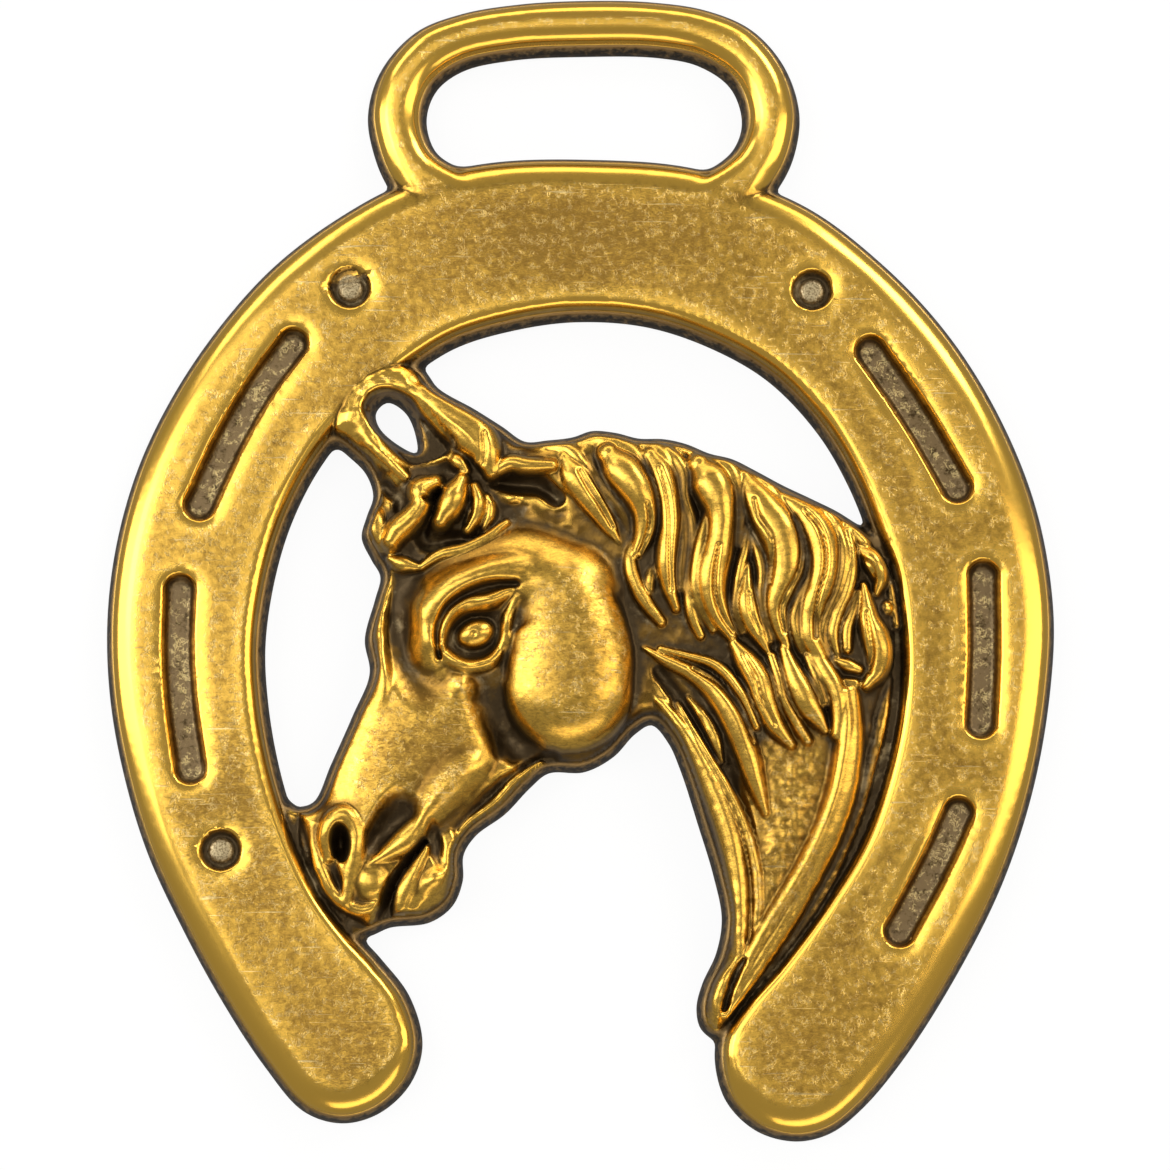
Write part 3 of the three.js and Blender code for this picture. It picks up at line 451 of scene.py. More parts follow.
def forelock(relief):
    """Curls over the brow."""
    relief.hollow([(-12.8, 7.4, 1.3, 1), (-11.2, 6.9, 1.4, 1), (-9.8, 6.5, 0.9, 1)], 0.6)
    relief.dome((-16.1, 2.1), (1.5, 2.3), 8, 2, 4.2, 2.4, 0.5, 0.25)
    relief.hollow([(-15.2, 5.6, 0.8, 1), (-14.3, 4.6, 0.9, 1), (-14.2, 3.6, 0.6, 1)], 0.6)
    relief.hollow([
        (-12.4, 2.6, 0.8, 1), (-12.1, 1.2, 1.0, 1), (-10.2, 1.4, 0.9, 1), (-8.2, 1.3, 0.7, 1),
    ], 0.9)
    relief.ridge([
        (-11.4, 5.7, 0.8, 5.1), (-12.5, 5.1, 1.15, 5.6), (-12.5, 4.0, 1.0, 5.6),
        (-13.2, 2.9, 1.1, 5.6), (-14.2, 2.0, 1.15, 5.5), (-14.8, 1.1, 0.95, 5.2),
    ], 2.0, 0.1)
    relief.ridge([
        (-9.3, 5.9, 0.8, 5.0), (-9.8, 4.8, 1.25, 5.6), (-10.3, 3.7, 1.2, 5.6),
        (-10.9, 2.7, 0.9, 5.2),
    ], 2.0, 0.1)
    relief.crease([(-11.0, 4.9, 0.35), (-11.7, 4.3, 0.45), (-12.2, 4.4, 0.3)], 0.9)
    relief.ridge([
        (-8.3, 5.4, 0.5, 4.8), (-8.0, 4.3, 0.8, 5.1), (-8.2, 3.2, 0.85, 5.0),
        (-8.8, 2.0, 0.55, 4.6),
    ], 1.6, 0.1)
    relief.ridge([(-7.3, 4.6, 0.4, 4.4), (-7.0, 3.5, 0.6, 4.5), (-7.5, 2.2, 0.45, 4.3)], 1.2, 0.1)
    relief.crease([(-8.6, 4.4, 0.3), (-8.6, 3.3, 0.35), (-9.0, 2.4, 0.3)], 0.5)
    relief.ridge([
        (-14.9, -0.2, 0.4, 3.9), (-14.0, -0.6, 0.7, 4.3), (-12.9, -0.9, 0.5, 4.3),
    ], 0.9, 0.2)
    relief.ridge([
        (-12.4, -0.9, 0.4, 4.4), (-11, 0.0, 0.55, 4.6), (-9, 0.5, 0.55, 4.7),
        (-7.2, 1.4, 0.5, 4.7), (-5.8, 2.6, 0.35, 4.5),
    ], 0.7, 0.2)


def ears(relief):
    """Poll, right ear and left ear."""
    relief.hollow([
        (-6.5, 6.0, 0.9, 1), (-5.0, 5.8, 1.2, 1), (-3.2, 5.6, 1.2, 1), (-1.9, 4.6, 0.9, 1),
    ], 1.3)
    relief.hollow([(-6.1, 3.4, 1.1, 1), (-3.9, 4.2, 1.3, 1), (-1.8, 3.4, 1.0, 1)], 0.3)
    relief.bump((-5.2, 4.5), (0.8, 0.6), 10, 0.35)
    relief.ridge([
        (-6.6, 6.7, 0.6, 4.4), (-5.5, 7.3, 0.75, 4.7), (-4.2, 7.1, 0.75, 4.8),
        (-2.2, 7.1, 0.6, 4.6),
    ], 1.1, 0.2)
    relief.ridge([
        (-14.0, 13.6, 0.7, 3.3), (-12.2, 12.7, 1.2, 3.9), (-10.3, 11.2, 1.5, 4.5),
        (-8.6, 9.7, 1.8, 5.0), (-7.5, 8.3, 1.5, 5.1), (-7.0, 6.6, 0.8, 4.7),
    ], 2.0, 0.25, 2.6)
    relief.ridge([
        (-12.2, 12.4, 0.3, 3.9), (-10.6, 10.9, 0.35, 4.5), (-9.2, 9.8, 0.4, 5.0),
        (-8.3, 8.7, 0.45, 5.1), (-8.0, 7.4, 0.35, 4.8),
    ], 0.8, 0.1)
    relief.crease([(-7.6, 9.6, 0.3), (-7.5, 8.4, 0.4), (-7.6, 7.2, 0.3)], 0.35)
    relief.ridge([(-10.4, 8.1, 0.4, 3.8), (-9.6, 7.5, 0.7, 4.3), (-9.0, 6.7, 0.5, 4.3)], 1.0, 0.15)
    relief.ridge([
        (-17.9, 11.1, 0.7, 3.3), (-16.9, 9.6, 0.8, 3.6), (-15.4, 8.0, 0.8, 3.9),
        (-13.7, 6.2, 0.6, 4.0),
    ], 1.4, 0.2)
    relief.hollow([(-15.8, 6.5, 0.8, 1), (-15.0, 5.2, 0.8, 1)], 0.4)


def neck_forms(relief):
    """Ridges and hollows of the neck."""
    relief.hollow([
        (6.1, -9.1, 0.7, 1), (8.5, -12.3, 1.0, 1), (11, -16.2, 1.1, 1), (12.9, -21.5, 0.9, 1),
        (13.7, -25.4, 0.6, 1),
    ], 0.6)
    relief.swelling([
        (16.2, -15.6, 2.8, 0.4), (16.4, -19.6, 2.8, 1), (15.4, -24.1, 2.2, 1),
        (14.0, -28.3, 1.2, 0.6),
    ], 0.35)
    relief.ridge([
        (5.4, -10.6, 0.5, 3.4), (7.1, -12.5, 0.75, 3.9), (8.7, -14.9, 0.95, 4.1),
        (10.4, -18.4, 1.1, 4.2), (11.6, -21.7, 1.15, 4.3), (12.2, -24.8, 1.05, 4.2),
        (12.4, -28.1, 0.95, 4.1), (12.4, -31.4, 0.65, 3.8),
    ], 1.5, 0.15)
    relief.ridge([
        (7.6, -11.6, 0.3, 3.5), (9.7, -15.3, 0.35, 4.1), (11.6, -18.6, 0.45, 4.2),
        (12.9, -21.7, 0.5, 4.2), (13.7, -25, 0.55, 4.1), (13.7, -28.6, 0.5, 3.9),
        (13.3, -30.4, 0.3, 3.6),
    ], 0.8, 0.12)
    relief.ridge([
        (4.9, -7.2, 0.4, 3.8), (6.6, -8.2, 0.65, 4.2), (8.6, -9.2, 0.8, 4.5),
        (10.4, -10.6, 1.0, 4.8), (11.8, -12.6, 1.15, 5.0), (12.9, -15.3, 1.1, 4.8),
        (13.7, -17.9, 0.9, 4.5), (14.4, -20.2, 0.5, 4.1),
    ], 1.6, 0.2)
    relief.crease([(8.7, -8.9, 0.3), (10.9, -10.3, 0.4), (12.5, -12.4, 0.4), (13.5, -14.8, 0.3)], 0.4)
    relief.ridge([
        (6.2, -7.3, 0.3, 4.0), (8.3, -7.9, 0.4, 4.3), (10.6, -8.7, 0.5, 4.6),
        (12.5, -10.9, 0.5, 4.8), (13.7, -13.5, 0.4, 4.6),
    ], 0.9, 0.1)
    relief.ridge([
        (8.4, -11.1, 0.3, 3.6), (9.6, -12.6, 0.55, 3.9), (10.5, -14.4, 0.6, 4.0),
        (11, -16.2, 0.3, 3.7),
    ], 0.8, 0.1)
    relief.ridge([
        (20.9, -10.7, 1.2, 4.6), (20.9, -14.2, 1.4, 4.7), (20.4, -17.8, 1.5, 4.6),
        (19.4, -21, 1.5, 4.5), (18.1, -24.1, 1.4, 4.3), (16.4, -27.4, 1.3, 4.1),
        (14.2, -31, 1.2, 3.9), (12.4, -33.9, 0.9, 3.6), (11.2, -35.9, 0.55, 3.3),
    ], 2.2, 0.3)
    relief.ridge([
        (20.6, -10.8, 0.5, 4.9), (20.7, -13, 0.65, 5.0), (20.5, -15.4, 0.7, 4.9),
        (19.9, -18.4, 0.7, 4.8), (18.9, -21.2, 0.75, 4.7), (17.6, -23.9, 0.75, 4.6),
        (15.9, -26.7, 0.75, 4.4), (14.1, -29.6, 0.75, 4.2), (12.8, -32.1, 0.65, 3.9),
        (11.6, -34.6, 0.5, 3.6),
    ], 1.0, 0.12)
    relief.ridge([
        (12.1, -31.5, 0.4, 3.6), (11.1, -33.2, 0.6, 3.8), (10.6, -34.8, 0.6, 3.8),
        (10.6, -35.9, 0.45, 3.5),
    ], 1.1, 0.1)
    relief.crease([(12.7, -31.6, 0.3), (11.9, -33.2, 0.45), (11.2, -35.3, 0.4)], 0.7)


def trough_lumps(relief):
    """Rough metal where the neck and the muzzle run into the shoe."""
    relief.ridge([
        (24.1, -9.6, 0.4, 2.6), (23.4, -13.2, 0.6, 2.9), (22.5, -16.4, 0.65, 2.9),
        (21.6, -19.6, 0.65, 2.9), (20.4, -22.8, 0.6, 2.8), (18.8, -26.2, 0.6, 2.8),
        (16.9, -29.2, 0.5, 2.7), (14.4, -32.7, 0.4, 2.6),
    ], 0.6, 0.15)
    relief.ridge([(22.4, -11.4, 0.4, 3.1), (22.3, -13.6, 0.5, 3.2), (21.9, -15.6, 0.35, 3.0)], 0.6, 0.15)
    relief.dome((23.9, -4.1), (0.65, 0.8), 0, 2.6, 3.6, 2.4, 0.5, 0.1)
    relief.ridge([
        (23.4, 1.9, 0.35, 2.9), (24.1, 0.2, 0.45, 3.1), (24.3, -2.2, 0.45, 3.1),
        (24.7, -5.4, 0.4, 3.0),
    ], 0.6, 0.12)
    relief.ridge([
        (-21.7, -19.9, 0.3, 2.2), (-21.6, -21.9, 0.4, 2.4), (-21.0, -23.9, 0.4, 2.4),
        (-20.1, -26.2, 0.4, 2.4), (-18.5, -28.2, 0.4, 2.3),
    ], 0.6, 0.1)


def lock_roots(relief):
    """Broad low roots that turn over the top edge and run down behind each lock."""
    relief.ridge([
        (-4.6, 8.8, 0.7, 3.0), (-2.6, 8.9, 0.9, 3.5), (-0.9, 8.4, 0.9, 4.0),
        (0.2, 7.2, 0.8, 4.3), (1.2, 6.0, 0.6, 4.3),
    ], 1.4, 0.15)
    relief.ridge([
        (-1.8, 9.0, 0.8, 3.0), (0.5, 9.2, 1.1, 3.6), (2.8, 8.8, 1.2, 4.2),
        (4.4, 7.6, 1.1, 4.6), (5.2, 6.0, 0.9, 4.6), (5.7, 4.4, 0.5, 4.4),
    ], 1.5, 0.15)
    relief.ridge([
        (3.2, 9.3, 0.8, 3.3), (5.0, 8.9, 1.0, 4.0), (6.5, 7.8, 0.9, 4.6),
        (7.3, 6.2, 0.7, 4.7), (7.7, 4.6, 0.4, 4.5),
    ], 1.5, 0.15)
    relief.ridge([
        (6.2, 9.0, 0.8, 3.3), (8.6, 8.6, 1.1, 4.1), (10.6, 7.7, 1.2, 4.8),
        (11.9, 6.2, 1.1, 5.1), (12.4, 4.4, 0.8, 5.0), (12.4, 2.6, 0.5, 4.8),
    ], 1.6, 0.15)
    relief.ridge([
        (9.8, 8.4, 0.7, 3.2), (11.8, 7.7, 1.0, 3.9), (13.4, 6.7, 1.1, 4.5),
        (14.7, 5.2, 1.0, 4.9), (15.6, 4.0, 0.8, 5.0), (16.7, 2.9, 0.5, 4.9),
    ], 1.6, 0.15)
    relief.ridge([
        (13.8, 6.5, 0.7, 3.2), (15.8, 5.6, 0.9, 3.9), (17.6, 4.4, 1.0, 4.5),
        (19.2, 3.2, 0.9, 4.8), (20, 1.8, 0.7, 4.8), (20.2, 0.2, 0.4, 4.8),
    ], 1.6, 0.15)
    relief.ridge([
        (18, 4.5, 0.6, 3.2), (19.8, 3.6, 0.8, 3.7), (21.2, 2.2, 0.8, 4.2), (22.2, 1.0, 0.7, 4.4),
    ], 1.4, 0.15)


def front_locks(relief):
    """Locks from the poll to the middle of the neck."""
    relief.lock([
        (-1.3, 7.8, 0.6, 4.1), (-0.6, 6.5, 1.15, 4.8), (0.4, 5.0, 1.15, 4.9),
        (1.4, 3.6, 1.0, 4.8), (2.3, 2.2, 0.75, 4.5), (3.0, 1.1, 0.4, 4.1),
    ], 1.7)
    relief.crease([(-0.1, 6.6, 0.3), (0.8, 5.0, 0.35), (1.7, 3.6, 0.3), (2.5, 2.2, 0.2)], 0.4)
    relief.lock([
        (0.6, 7.7, 0.45, 4.0), (1.3, 6.3, 0.5, 4.3), (2.4, 4.7, 0.6, 4.5),
        (3.4, 3.3, 0.55, 4.4), (3.9, 1.9, 0.35, 4.1),
    ], 1.2)
    relief.lock([
        (2.2, 8.0, 1.0, 4.9), (3.0, 7.0, 1.45, 5.6), (4.1, 5.6, 1.45, 5.9),
        (4.8, 4.3, 1.25, 5.8), (5.1, 3.0, 1.05, 5.5), (5.0, 1.7, 0.9, 5.2),
        (4.4, 0.2, 0.55, 4.7),
    ], 2.0)
    relief.crease([(5.2, 3.9, 0.2), (5.4, 2.6, 0.3), (5.1, 1.2, 0.3), (4.6, 0.1, 0.2)], 0.5)
    relief.lock([
        (4.0, 1.0, 0.35, 4.2), (3.9, -0.6, 0.55, 4.5), (4.3, -2.2, 0.6, 4.5),
        (5.2, -3.8, 0.6, 4.4), (6.3, -5.2, 0.4, 4.2),
    ], 1.2)
    relief.lock([
        (5.9, -0.6, 0.25, 4.1), (5.5, -1.7, 0.45, 4.3), (5.4, -2.8, 0.35, 4.2),
    ], 0.8)
    relief.lock([
        (5.5, 7.9, 0.75, 4.7), (6.2, 6.7, 1.0, 5.2), (6.7, 5.2, 1.0, 5.4),
        (6.95, 3.7, 0.9, 5.4), (7.0, 2.1, 0.85, 5.4), (6.8, 0.7, 0.85, 5.4),
        (6.7, -0.8, 0.8, 5.3), (6.9, -2.4, 0.65, 5.0), (7.5, -4.2, 0.35, 4.6),
    ], 1.8)
    relief.crease([
        (6.2, 6.8, 0.2), (6.7, 5.1, 0.3), (7.0, 3.2, 0.35), (7.0, 1.0, 0.3), (7.0, -0.9, 0.25),
        (7.1, -2.8, 0.35),
    ], 0.35)
    relief.lock([
        (7.7, 4.6, 0.25, 4.4), (8.0, 2.9, 0.4, 4.6), (8.1, 1.0, 0.4, 4.6),
        (7.9, -0.9, 0.4, 4.6), (7.9, -2.7, 0.3, 4.4),
    ], 0.9)
    relief.lock([
        (6.8, 8.3, 0.4, 4.3), (7.5, 7.5, 0.6, 4.6), (8.1, 6.4, 0.55, 4.7), (8.2, 4.6, 0.5, 4.7),
        (8.7, 3.0, 0.45, 4.6), (8.9, 1.0, 0.5, 4.7), (8.7, -1.1, 0.5, 4.7),
        (8.5, -3.0, 0.5, 4.6), (8.8, -4.8, 0.5, 4.5), (9.4, -6.3, 0.35, 4.2),
    ], 1.1)


def middle_locks(relief):
    """The two largest locks and the leaf between them."""
    relief.lock([
        (9.3, 7.1, 1.05, 5.2), (10.0, 6.1, 1.55, 5.9), (10.7, 4.6, 1.5, 6.1),
        (11.0, 3.1, 1.2, 6.0), (10.95, 1.7, 1.15, 5.9), (10.7, 0.2, 1.25, 5.9),
        (10.3, -1.3, 1.35, 5.8), (10.3, -3.0, 1.25, 5.6), (10.8, -4.7, 1.0, 5.3),
        (11.8, -6.4, 0.5, 4.8),
    ], 2.1)
    relief.crease([
        (10.8, 0.6, 0.2), (10.5, -1.4, 0.35), (10.5, -3.2, 0.4), (11.0, -4.8, 0.4),
        (11.9, -6.2, 0.25),
    ], 0.5)
    relief.lock([
        (9.9, 3.1, 0.3, 5.0), (9.5, 1.2, 0.5, 5.2), (9.2, -0.8, 0.6, 5.2),
        (9.1, -2.7, 0.6, 5.0), (9.6, -4.5, 0.5, 4.7), (10.4, -5.9, 0.3, 4.3),
    ], 1.2)
    relief.lock([
        (12.4, 5.2, 0.3, 4.6), (12.6, 3.8, 0.5, 4.8), (12.5, 2.4, 0.45, 4.8),
        (12.3, 0.8, 0.3, 4.6),
    ], 0.9)
    relief.lock([
        (13.1, 2.1, 0.3, 4.6), (12.9, 0.6, 0.4, 4.7), (12.5, -1.0, 0.4, 4.8),
        (12.2, -2.8, 0.4, 4.8), (12.1, -4.4, 0.4, 4.7), (12.6, -6.0, 0.3, 4.4),
    ], 0.9)
    relief.lock([
        (13.4, 1.5, 0.3, 4.6), (13.9, 0.1, 0.4, 4.8), (14.2, -1.4, 0.4, 4.8),
        (14.1, -3.0, 0.4, 4.8), (14.3, -4.9, 0.4, 4.7), (14.8, -6.7, 0.3, 4.5),
    ], 0.9)
    relief.lock([
        (13.1, -0.8, 0.25, 4.5), (13.0, -2.3, 0.55, 5.0), (13.0, -3.8, 0.85, 5.2),
        (13.4, -5.3, 0.8, 5.1), (14.1, -6.6, 0.55, 4.8), (14.6, -7.6, 0.3, 4.4),
    ], 1.5)
    relief.crease([(13.1, -3.0, 0.2), (13.3, -4.6, 0.3), (14.0, -6.2, 0.2)], 0.3)
    relief.lock([
        (12.8, 6.1, 0.9, 4.8), (13.5, 4.9, 1.3, 5.4), (14.5, 3.4, 1.6, 5.8),
        (15.4, 2.0, 1.75, 6.0), (16.0, 0.5, 1.65, 6.0), (16.1, -1.0, 1.5, 5.9),
        (15.7, -2.5, 1.3, 5.7), (15.3, -4.0, 1.05, 5.4), (15.5, -5.6, 0.8, 5.1),
        (16.1, -7.2, 0.45, 4.7),
    ], 2.1)
    relief.crease([
        (13.6, 4.2, 0.3), (13.9, 2.9, 0.35), (14.9, 1.2, 0.3), (15.0, -0.8, 0.3),
        (14.8, -2.4, 0.2),
    ], 0.35)
    relief.crease([
        (16.6, 2.9, 0.25), (17.1, 1.4, 0.3), (17.2, -0.2, 0.3), (16.9, -1.6, 0.3),
        (16.1, -3.0, 0.35), (15.6, -4.4, 0.35), (15.9, -6.2, 0.2),
    ], 0.4)


def back_locks(relief):
    """Locks nearest to the shoe."""
    relief.lock([
        (17.6, 1.6, 0.25, 4.9), (18.0, 0.0, 0.4, 5.1), (17.9, -1.8, 0.4, 5.1),
        (17.2, -3.3, 0.45, 5.0), (16.7, -4.9, 0.5, 4.9), (16.9, -6.4, 0.45, 4.8),
        (17.3, -7.6, 0.3, 4.5),
    ], 1.1)
    relief.lock([
        (15.7, 4.6, 0.5, 4.7), (16.9, 3.7, 0.95, 5.2), (18.1, 2.5, 1.3, 5.6),
        (18.8, 1.0, 1.35, 5.8), (19.0, -0.6, 1.25, 5.8), (18.8, -2.2, 1.2, 5.7),
        (18.2, -3.8, 1.15, 5.5), (17.9, -5.3, 1.05, 5.2), (18.0, -6.7, 0.95, 5.1),
        (18.7, -8.0, 0.7, 4.9),
    ], 2.0)
    relief.crease([
        (17.5, 3.4, 0.2), (18.6, 2.0, 0.3), (19.1, 0.4, 0.35), (19.1, -1.2, 0.35),
        (18.6, -3.0, 0.3), (18.3, -4.8, 0.35), (18.3, -6.6, 0.3),
    ], 0.5)
    relief.lock([
        (19.9, 3.0, 0.3, 4.5), (20.3, 1.5, 0.45, 4.8), (20.6, 0.0, 0.5, 5.0),
        (20.4, -1.8, 0.5, 5.0), (19.9, -3.4, 0.45, 4.9), (19.2, -4.9, 0.4, 4.8),
        (18.9, -6.4, 0.4, 4.7), (19.3, -7.9, 0.3, 4.5),
    ], 1.1)
    relief.lock([
        (20.9, 1.9, 0.3, 4.4), (21.2, 0.2, 0.4, 4.7), (21.1, -1.6, 0.5, 4.9),
        (20.7, -3.2, 0.5, 4.9), (20.0, -4.8, 0.5, 4.9), (19.7, -6.3, 0.45, 4.8),
        (20.0, -7.8, 0.3, 4.5),
    ], 1.1)
    relief.lock([
        (21.7, -3.0, 0.25, 4.5), (21.3, -4.4, 0.4, 4.7), (20.8, -5.9, 0.45, 4.7),
        (20.8, -7.4, 0.35, 4.6),
    ], 0.9)
    relief.lock([
        (21.7, 0.5, 0.45, 4.2), (22.6, -0.1, 0.75, 4.8), (23.2, -1.0, 0.75, 4.9),
        (23.4, -2.0, 0.55, 4.6), (23.1, -3.0, 0.3, 4.1),
    ], 1.6)
    relief.crease([(22.1, -0.3, 0.2), (22.8, -1.0, 0.3), (23.0, -2.1, 0.25)], 0.3)
    relief.lock([
        (22.1, -2.4, 0.35, 4.5), (22.3, -3.8, 0.65, 5.0), (22.5, -5.2, 0.9, 5.3),
        (23.0, -6.5, 1.1, 5.4), (23.3, -7.8, 1.05, 5.3), (23.1, -9.1, 0.85, 5.0),
        (22.3, -10.2, 0.5, 4.6),
    ], 2.0)
    relief.crease([(22.3, -4.6, 0.2), (22.5, -6.2, 0.35), (22.7, -7.8, 0.4), (22.5, -9.2, 0.3)], 0.5)
    relief.lock([(19.9, -8.3, 0.3, 4.5), (20.9, -8.7, 0.45, 4.7), (21.7, -9.0, 0.35, 4.5)], 0.9)
    relief.lock([(20.6, -10.0, 0.3, 4.5), (21.4, -10.1, 0.35, 4.5)], 0.8)


def low_locks(relief):
    """Tips that fall from the mane over the neck."""
    relief.lock([
        (12.0, -7.0, 0.5, 4.6), (12.9, -8.3, 0.95, 5.0), (13.9, -10.0, 1.1, 5.2),
        (14.4, -11.6, 1.05, 5.1), (15.1, -13.2, 0.85, 4.9), (16.4, -14.9, 0.4, 4.4),
    ], 1.8)
    relief.crease([(12.7, -7.9, 0.2), (13.6, -9.7, 0.35), (14.1, -11.4, 0.35), (15.1, -13.4, 0.2)], 0.4)
    relief.lock([
        (14.9, -8.0, 0.35, 4.6), (15.4, -9.7, 0.45, 4.8), (15.8, -11.3, 0.45, 4.8),
        (16.7, -13.0, 0.4, 4.6), (17.7, -14.6, 0.3, 4.4),
    ], 1.0)
    relief.lock([
        (15.9, -7.4, 0.5, 4.7), (16.4, -8.9, 0.8, 5.0), (17.0, -10.3, 1.05, 5.2),
        (17.7, -11.7, 1.05, 5.2), (18.6, -13.0, 0.65, 4.8), (19.1, -13.8, 0.3, 4.5),
    ], 1.7)
    relief.lock([
        (17.7, -8.0, 0.3, 4.6), (18.4, -9.8, 0.4, 4.8), (19.0, -11.6, 0.35, 4.7),
    ], 0.9)
    relief.lock([
        (18.3, -7.8, 0.7, 4.8), (19.1, -9.2, 0.85, 5.0), (19.9, -10.7, 0.8, 5.1),
        (20.2, -12.3, 0.75, 5.0), (20.0, -14.1, 0.5, 4.8),
    ], 1.5)


def roughen(relief):
    """Cast roughness: strong in the low places and on the neck, slight on the crests."""
    x, y = relief.x, relief.y
    rough = 0.6 * lumps(x, y, 0.85, seed=1) + 0.5 * lumps(x, y, 0.45, seed=2)
    low = 1 - smooth_step(relief.z, 3.3, 4.4)
    neck = np.clip(1 - relief.across((16.0, -21.0), (2.5, 7.0), -12) ** 2, 0, 1)
    cheek = np.clip(1 - relief.across((2.2, -7.0), (2.6, 5.5), 0) ** 2, 0, 1)
    everywhere = 0.02
    relief.z += rough * (everywhere + 0.08 * low + 0.09 * neck + 0.04 * cheek)


# Heights of the casting

DISTANCE = {
    "shoe": distance_grid(SHOE),
    "hanger": np.minimum(distance_grid(HANGER), -distance_grid(SLOT)),
    "head": distance_grid(HEAD),
    "ear_hole": distance_grid(EAR_HOLE),
    "ear_pocket": distance_grid(EAR_POCKET),
}
PLAN = smooth_max(DISTANCE["shoe"], DISTANCE["hanger"], HANGER_BLEND)
PLAN = smooth_max(PLAN, DISTANCE["head"], HEAD_BLEND)
PLAN = np.minimum(PLAN, -DISTANCE["ear_hole"])
SHOE_SLOPE_Y, SHOE_SLOPE_X = np.gradient(DISTANCE["shoe"], CELL)
GROOVE_LINES = [curve(path, False, 0.4) for path in GROOVES]


def wall_height(distance):
    """Height of the drafted wall at a distance inside the outline."""
    return BACK_ROUND_HEIGHT + (WALL_TOP - BACK_ROUND_HEIGHT) * np.clip(distance / DRAFT, 0, 1)


def plate_height(distance, face, shoulder):
    """Cast plate: drafted wall, ledge, rounded shoulder and flat face."""
    t = np.clip((distance - DRAFT - LEDGE) / shoulder, 0, 1)
    top = WALL_TOP + (face - WALL_TOP) * np.sqrt(1 - (1 - t) ** 2)
    height = np.where(distance < DRAFT + LEDGE, wall_height(distance), top)
    return np.where(distance < 0, -1, height)


def face_waves(x, y):
    """Slight waves that casting and polishing leave on a flat face."""
    waves = 0.030 * np.sin(0.42 * x + 0.17 * y + 0.8) + 0.026 * np.sin(0.21 * x - 0.38 * y + 2.1)
    return waves + 0.010 * np.sin(0.9 * x + 0.75 * y) * np.sin(0.8 * y - 0.5 * x + 1.3)


def shoe_height(x, y, distance):
    """The shoe's shoulder is broad on the outside and narrow towards the head."""
    centre = (0, -8)
    dx, dy = x - centre[0], y - centre[1]
    slope_x, slope_y = sample(SHOE_SLOPE_X, x, y), sample(SHOE_SLOPE_Y, x, y)
    facing = -(slope_x * dx + slope_y * dy) / np.hypot(dx, dy)
    shoulder = INNER_ROUND + (OUTER_ROUND - INNER_ROUND) * smooth_step(facing, -0.4, 0.5)
    height = plate_height(distance, SHOE_FACE, shoulder)
    return height + face_waves(x, y) * smooth_step(distance, 1.0, 3.0)


def head_height(x, y, distance):
    """The body rises from the web as a rounded swelling, and the forms are laid on it."""
    body_rise = 1.5
    rise_width = 1.8
    near_foot = 8
    inside = distance - DRAFT - LEDGE
    for foot, inner_side in ((NECK_FOOT, -1), (MUZZLE_FOOT, 1)):
        nearest = nearest_on(curve(foot, False, 0.6), x, y)
        away, side = nearest[0], nearest[2] * inner_side
        inside = np.minimum(inside, np.where(away < near_foot, side * away, near_foot))
    t = np.clip(inside / rise_width, 0, 1)
    relief = Relief(x, y, WEB_FACE + body_rise * np.sqrt(1 - (1 - t) ** 2))
    mane_ground(relief)
    face_masses(relief)
    brow_and_eye(relief)
    jaw(relief)
    muzzle_forms(relief)
    forelock(relief)
    ears(relief)
    trough_lumps(relief)
    neck_forms(relief)
    lock_roots(relief)
    front_locks(relief)
    middle_locks(relief)
    back_locks(relief)
    low_locks(relief)
    roughen(relief)
    edge_round = 0.5
    inward = np.clip((distance - DRAFT - LEDGE) / edge_round, 0, 1)
    rounded = WALL_TOP + (relief.z - WALL_TOP) * np.sqrt(1 - (1 - inward) ** 2)
    edge = np.minimum(wall_height(distance), relief.z)
    return np.where(distance < DRAFT + LEDGE, edge, rounded)


def groove_distance(x, y):
    return np.min([nearest_on(line, x, y)[0] for line in GROOVE_LINES], axis=0)


def nail_distance(x, y):
    return np.min([np.hypot(x - at[0], y - at[1]) for at in NAILS], axis=0)


def sink_groove(x, y, height):
    """Worn rim, steep side and flat floor."""
    distance = groove_distance(x, y)
    rim = SHOE_FACE - RIM_DROP
    t = (GROOVE_HALF_WIDTH - distance) / (GROOVE_HALF_WIDTH - GROOVE_FLOOR_HALF_WIDTH)
    sunk = rim - (rim - GROOVE_FLOOR) * np.clip(t, 0, 1) ** 0.8
    height = height - worn_rim(distance - GROOVE_HALF_WIDTH)
    return np.where(distance < GROOVE_HALF_WIDTH, np.minimum(height, sunk), height)


def worn_rim(outside):
    """How far the face is rubbed down beside a groove or a nail hole."""
    t = np.clip(1 - outside / RIM_WIDTH, 0, 1)
    return np.where(outside > 0, RIM_DROP * t ** 2, 0)


def sink_nail(x, y, height):
    """Round hole with the low flat head of a nail in it."""
    distance = nail_distance(x, y)
    rim = SHOE_FACE - RIM_DROP
    t = (NAIL_HOLE_RADIUS - distance) / (NAIL_HOLE_RADIUS - NAIL_FLOOR_RADIUS)
    sunk = rim - (rim - NAIL_FLOOR) * np.clip(t, 0, 1)
    height = height - worn_rim(distance - NAIL_HOLE_RADIUS)
    height = np.where(distance < NAIL_HOLE_RADIUS, np.minimum(height, sunk), height)
    edge = 1 - np.clip(distance / NAIL_RADIUS, 0, 1) ** 5
    nail = NAIL_FLOOR + (NAIL_TOP - NAIL_FLOOR) * np.sqrt(edge)
    height = np.where(distance < NAIL_RADIUS, np.maximum(height, nail), height)
    return fill_split_nail(x, y, height)


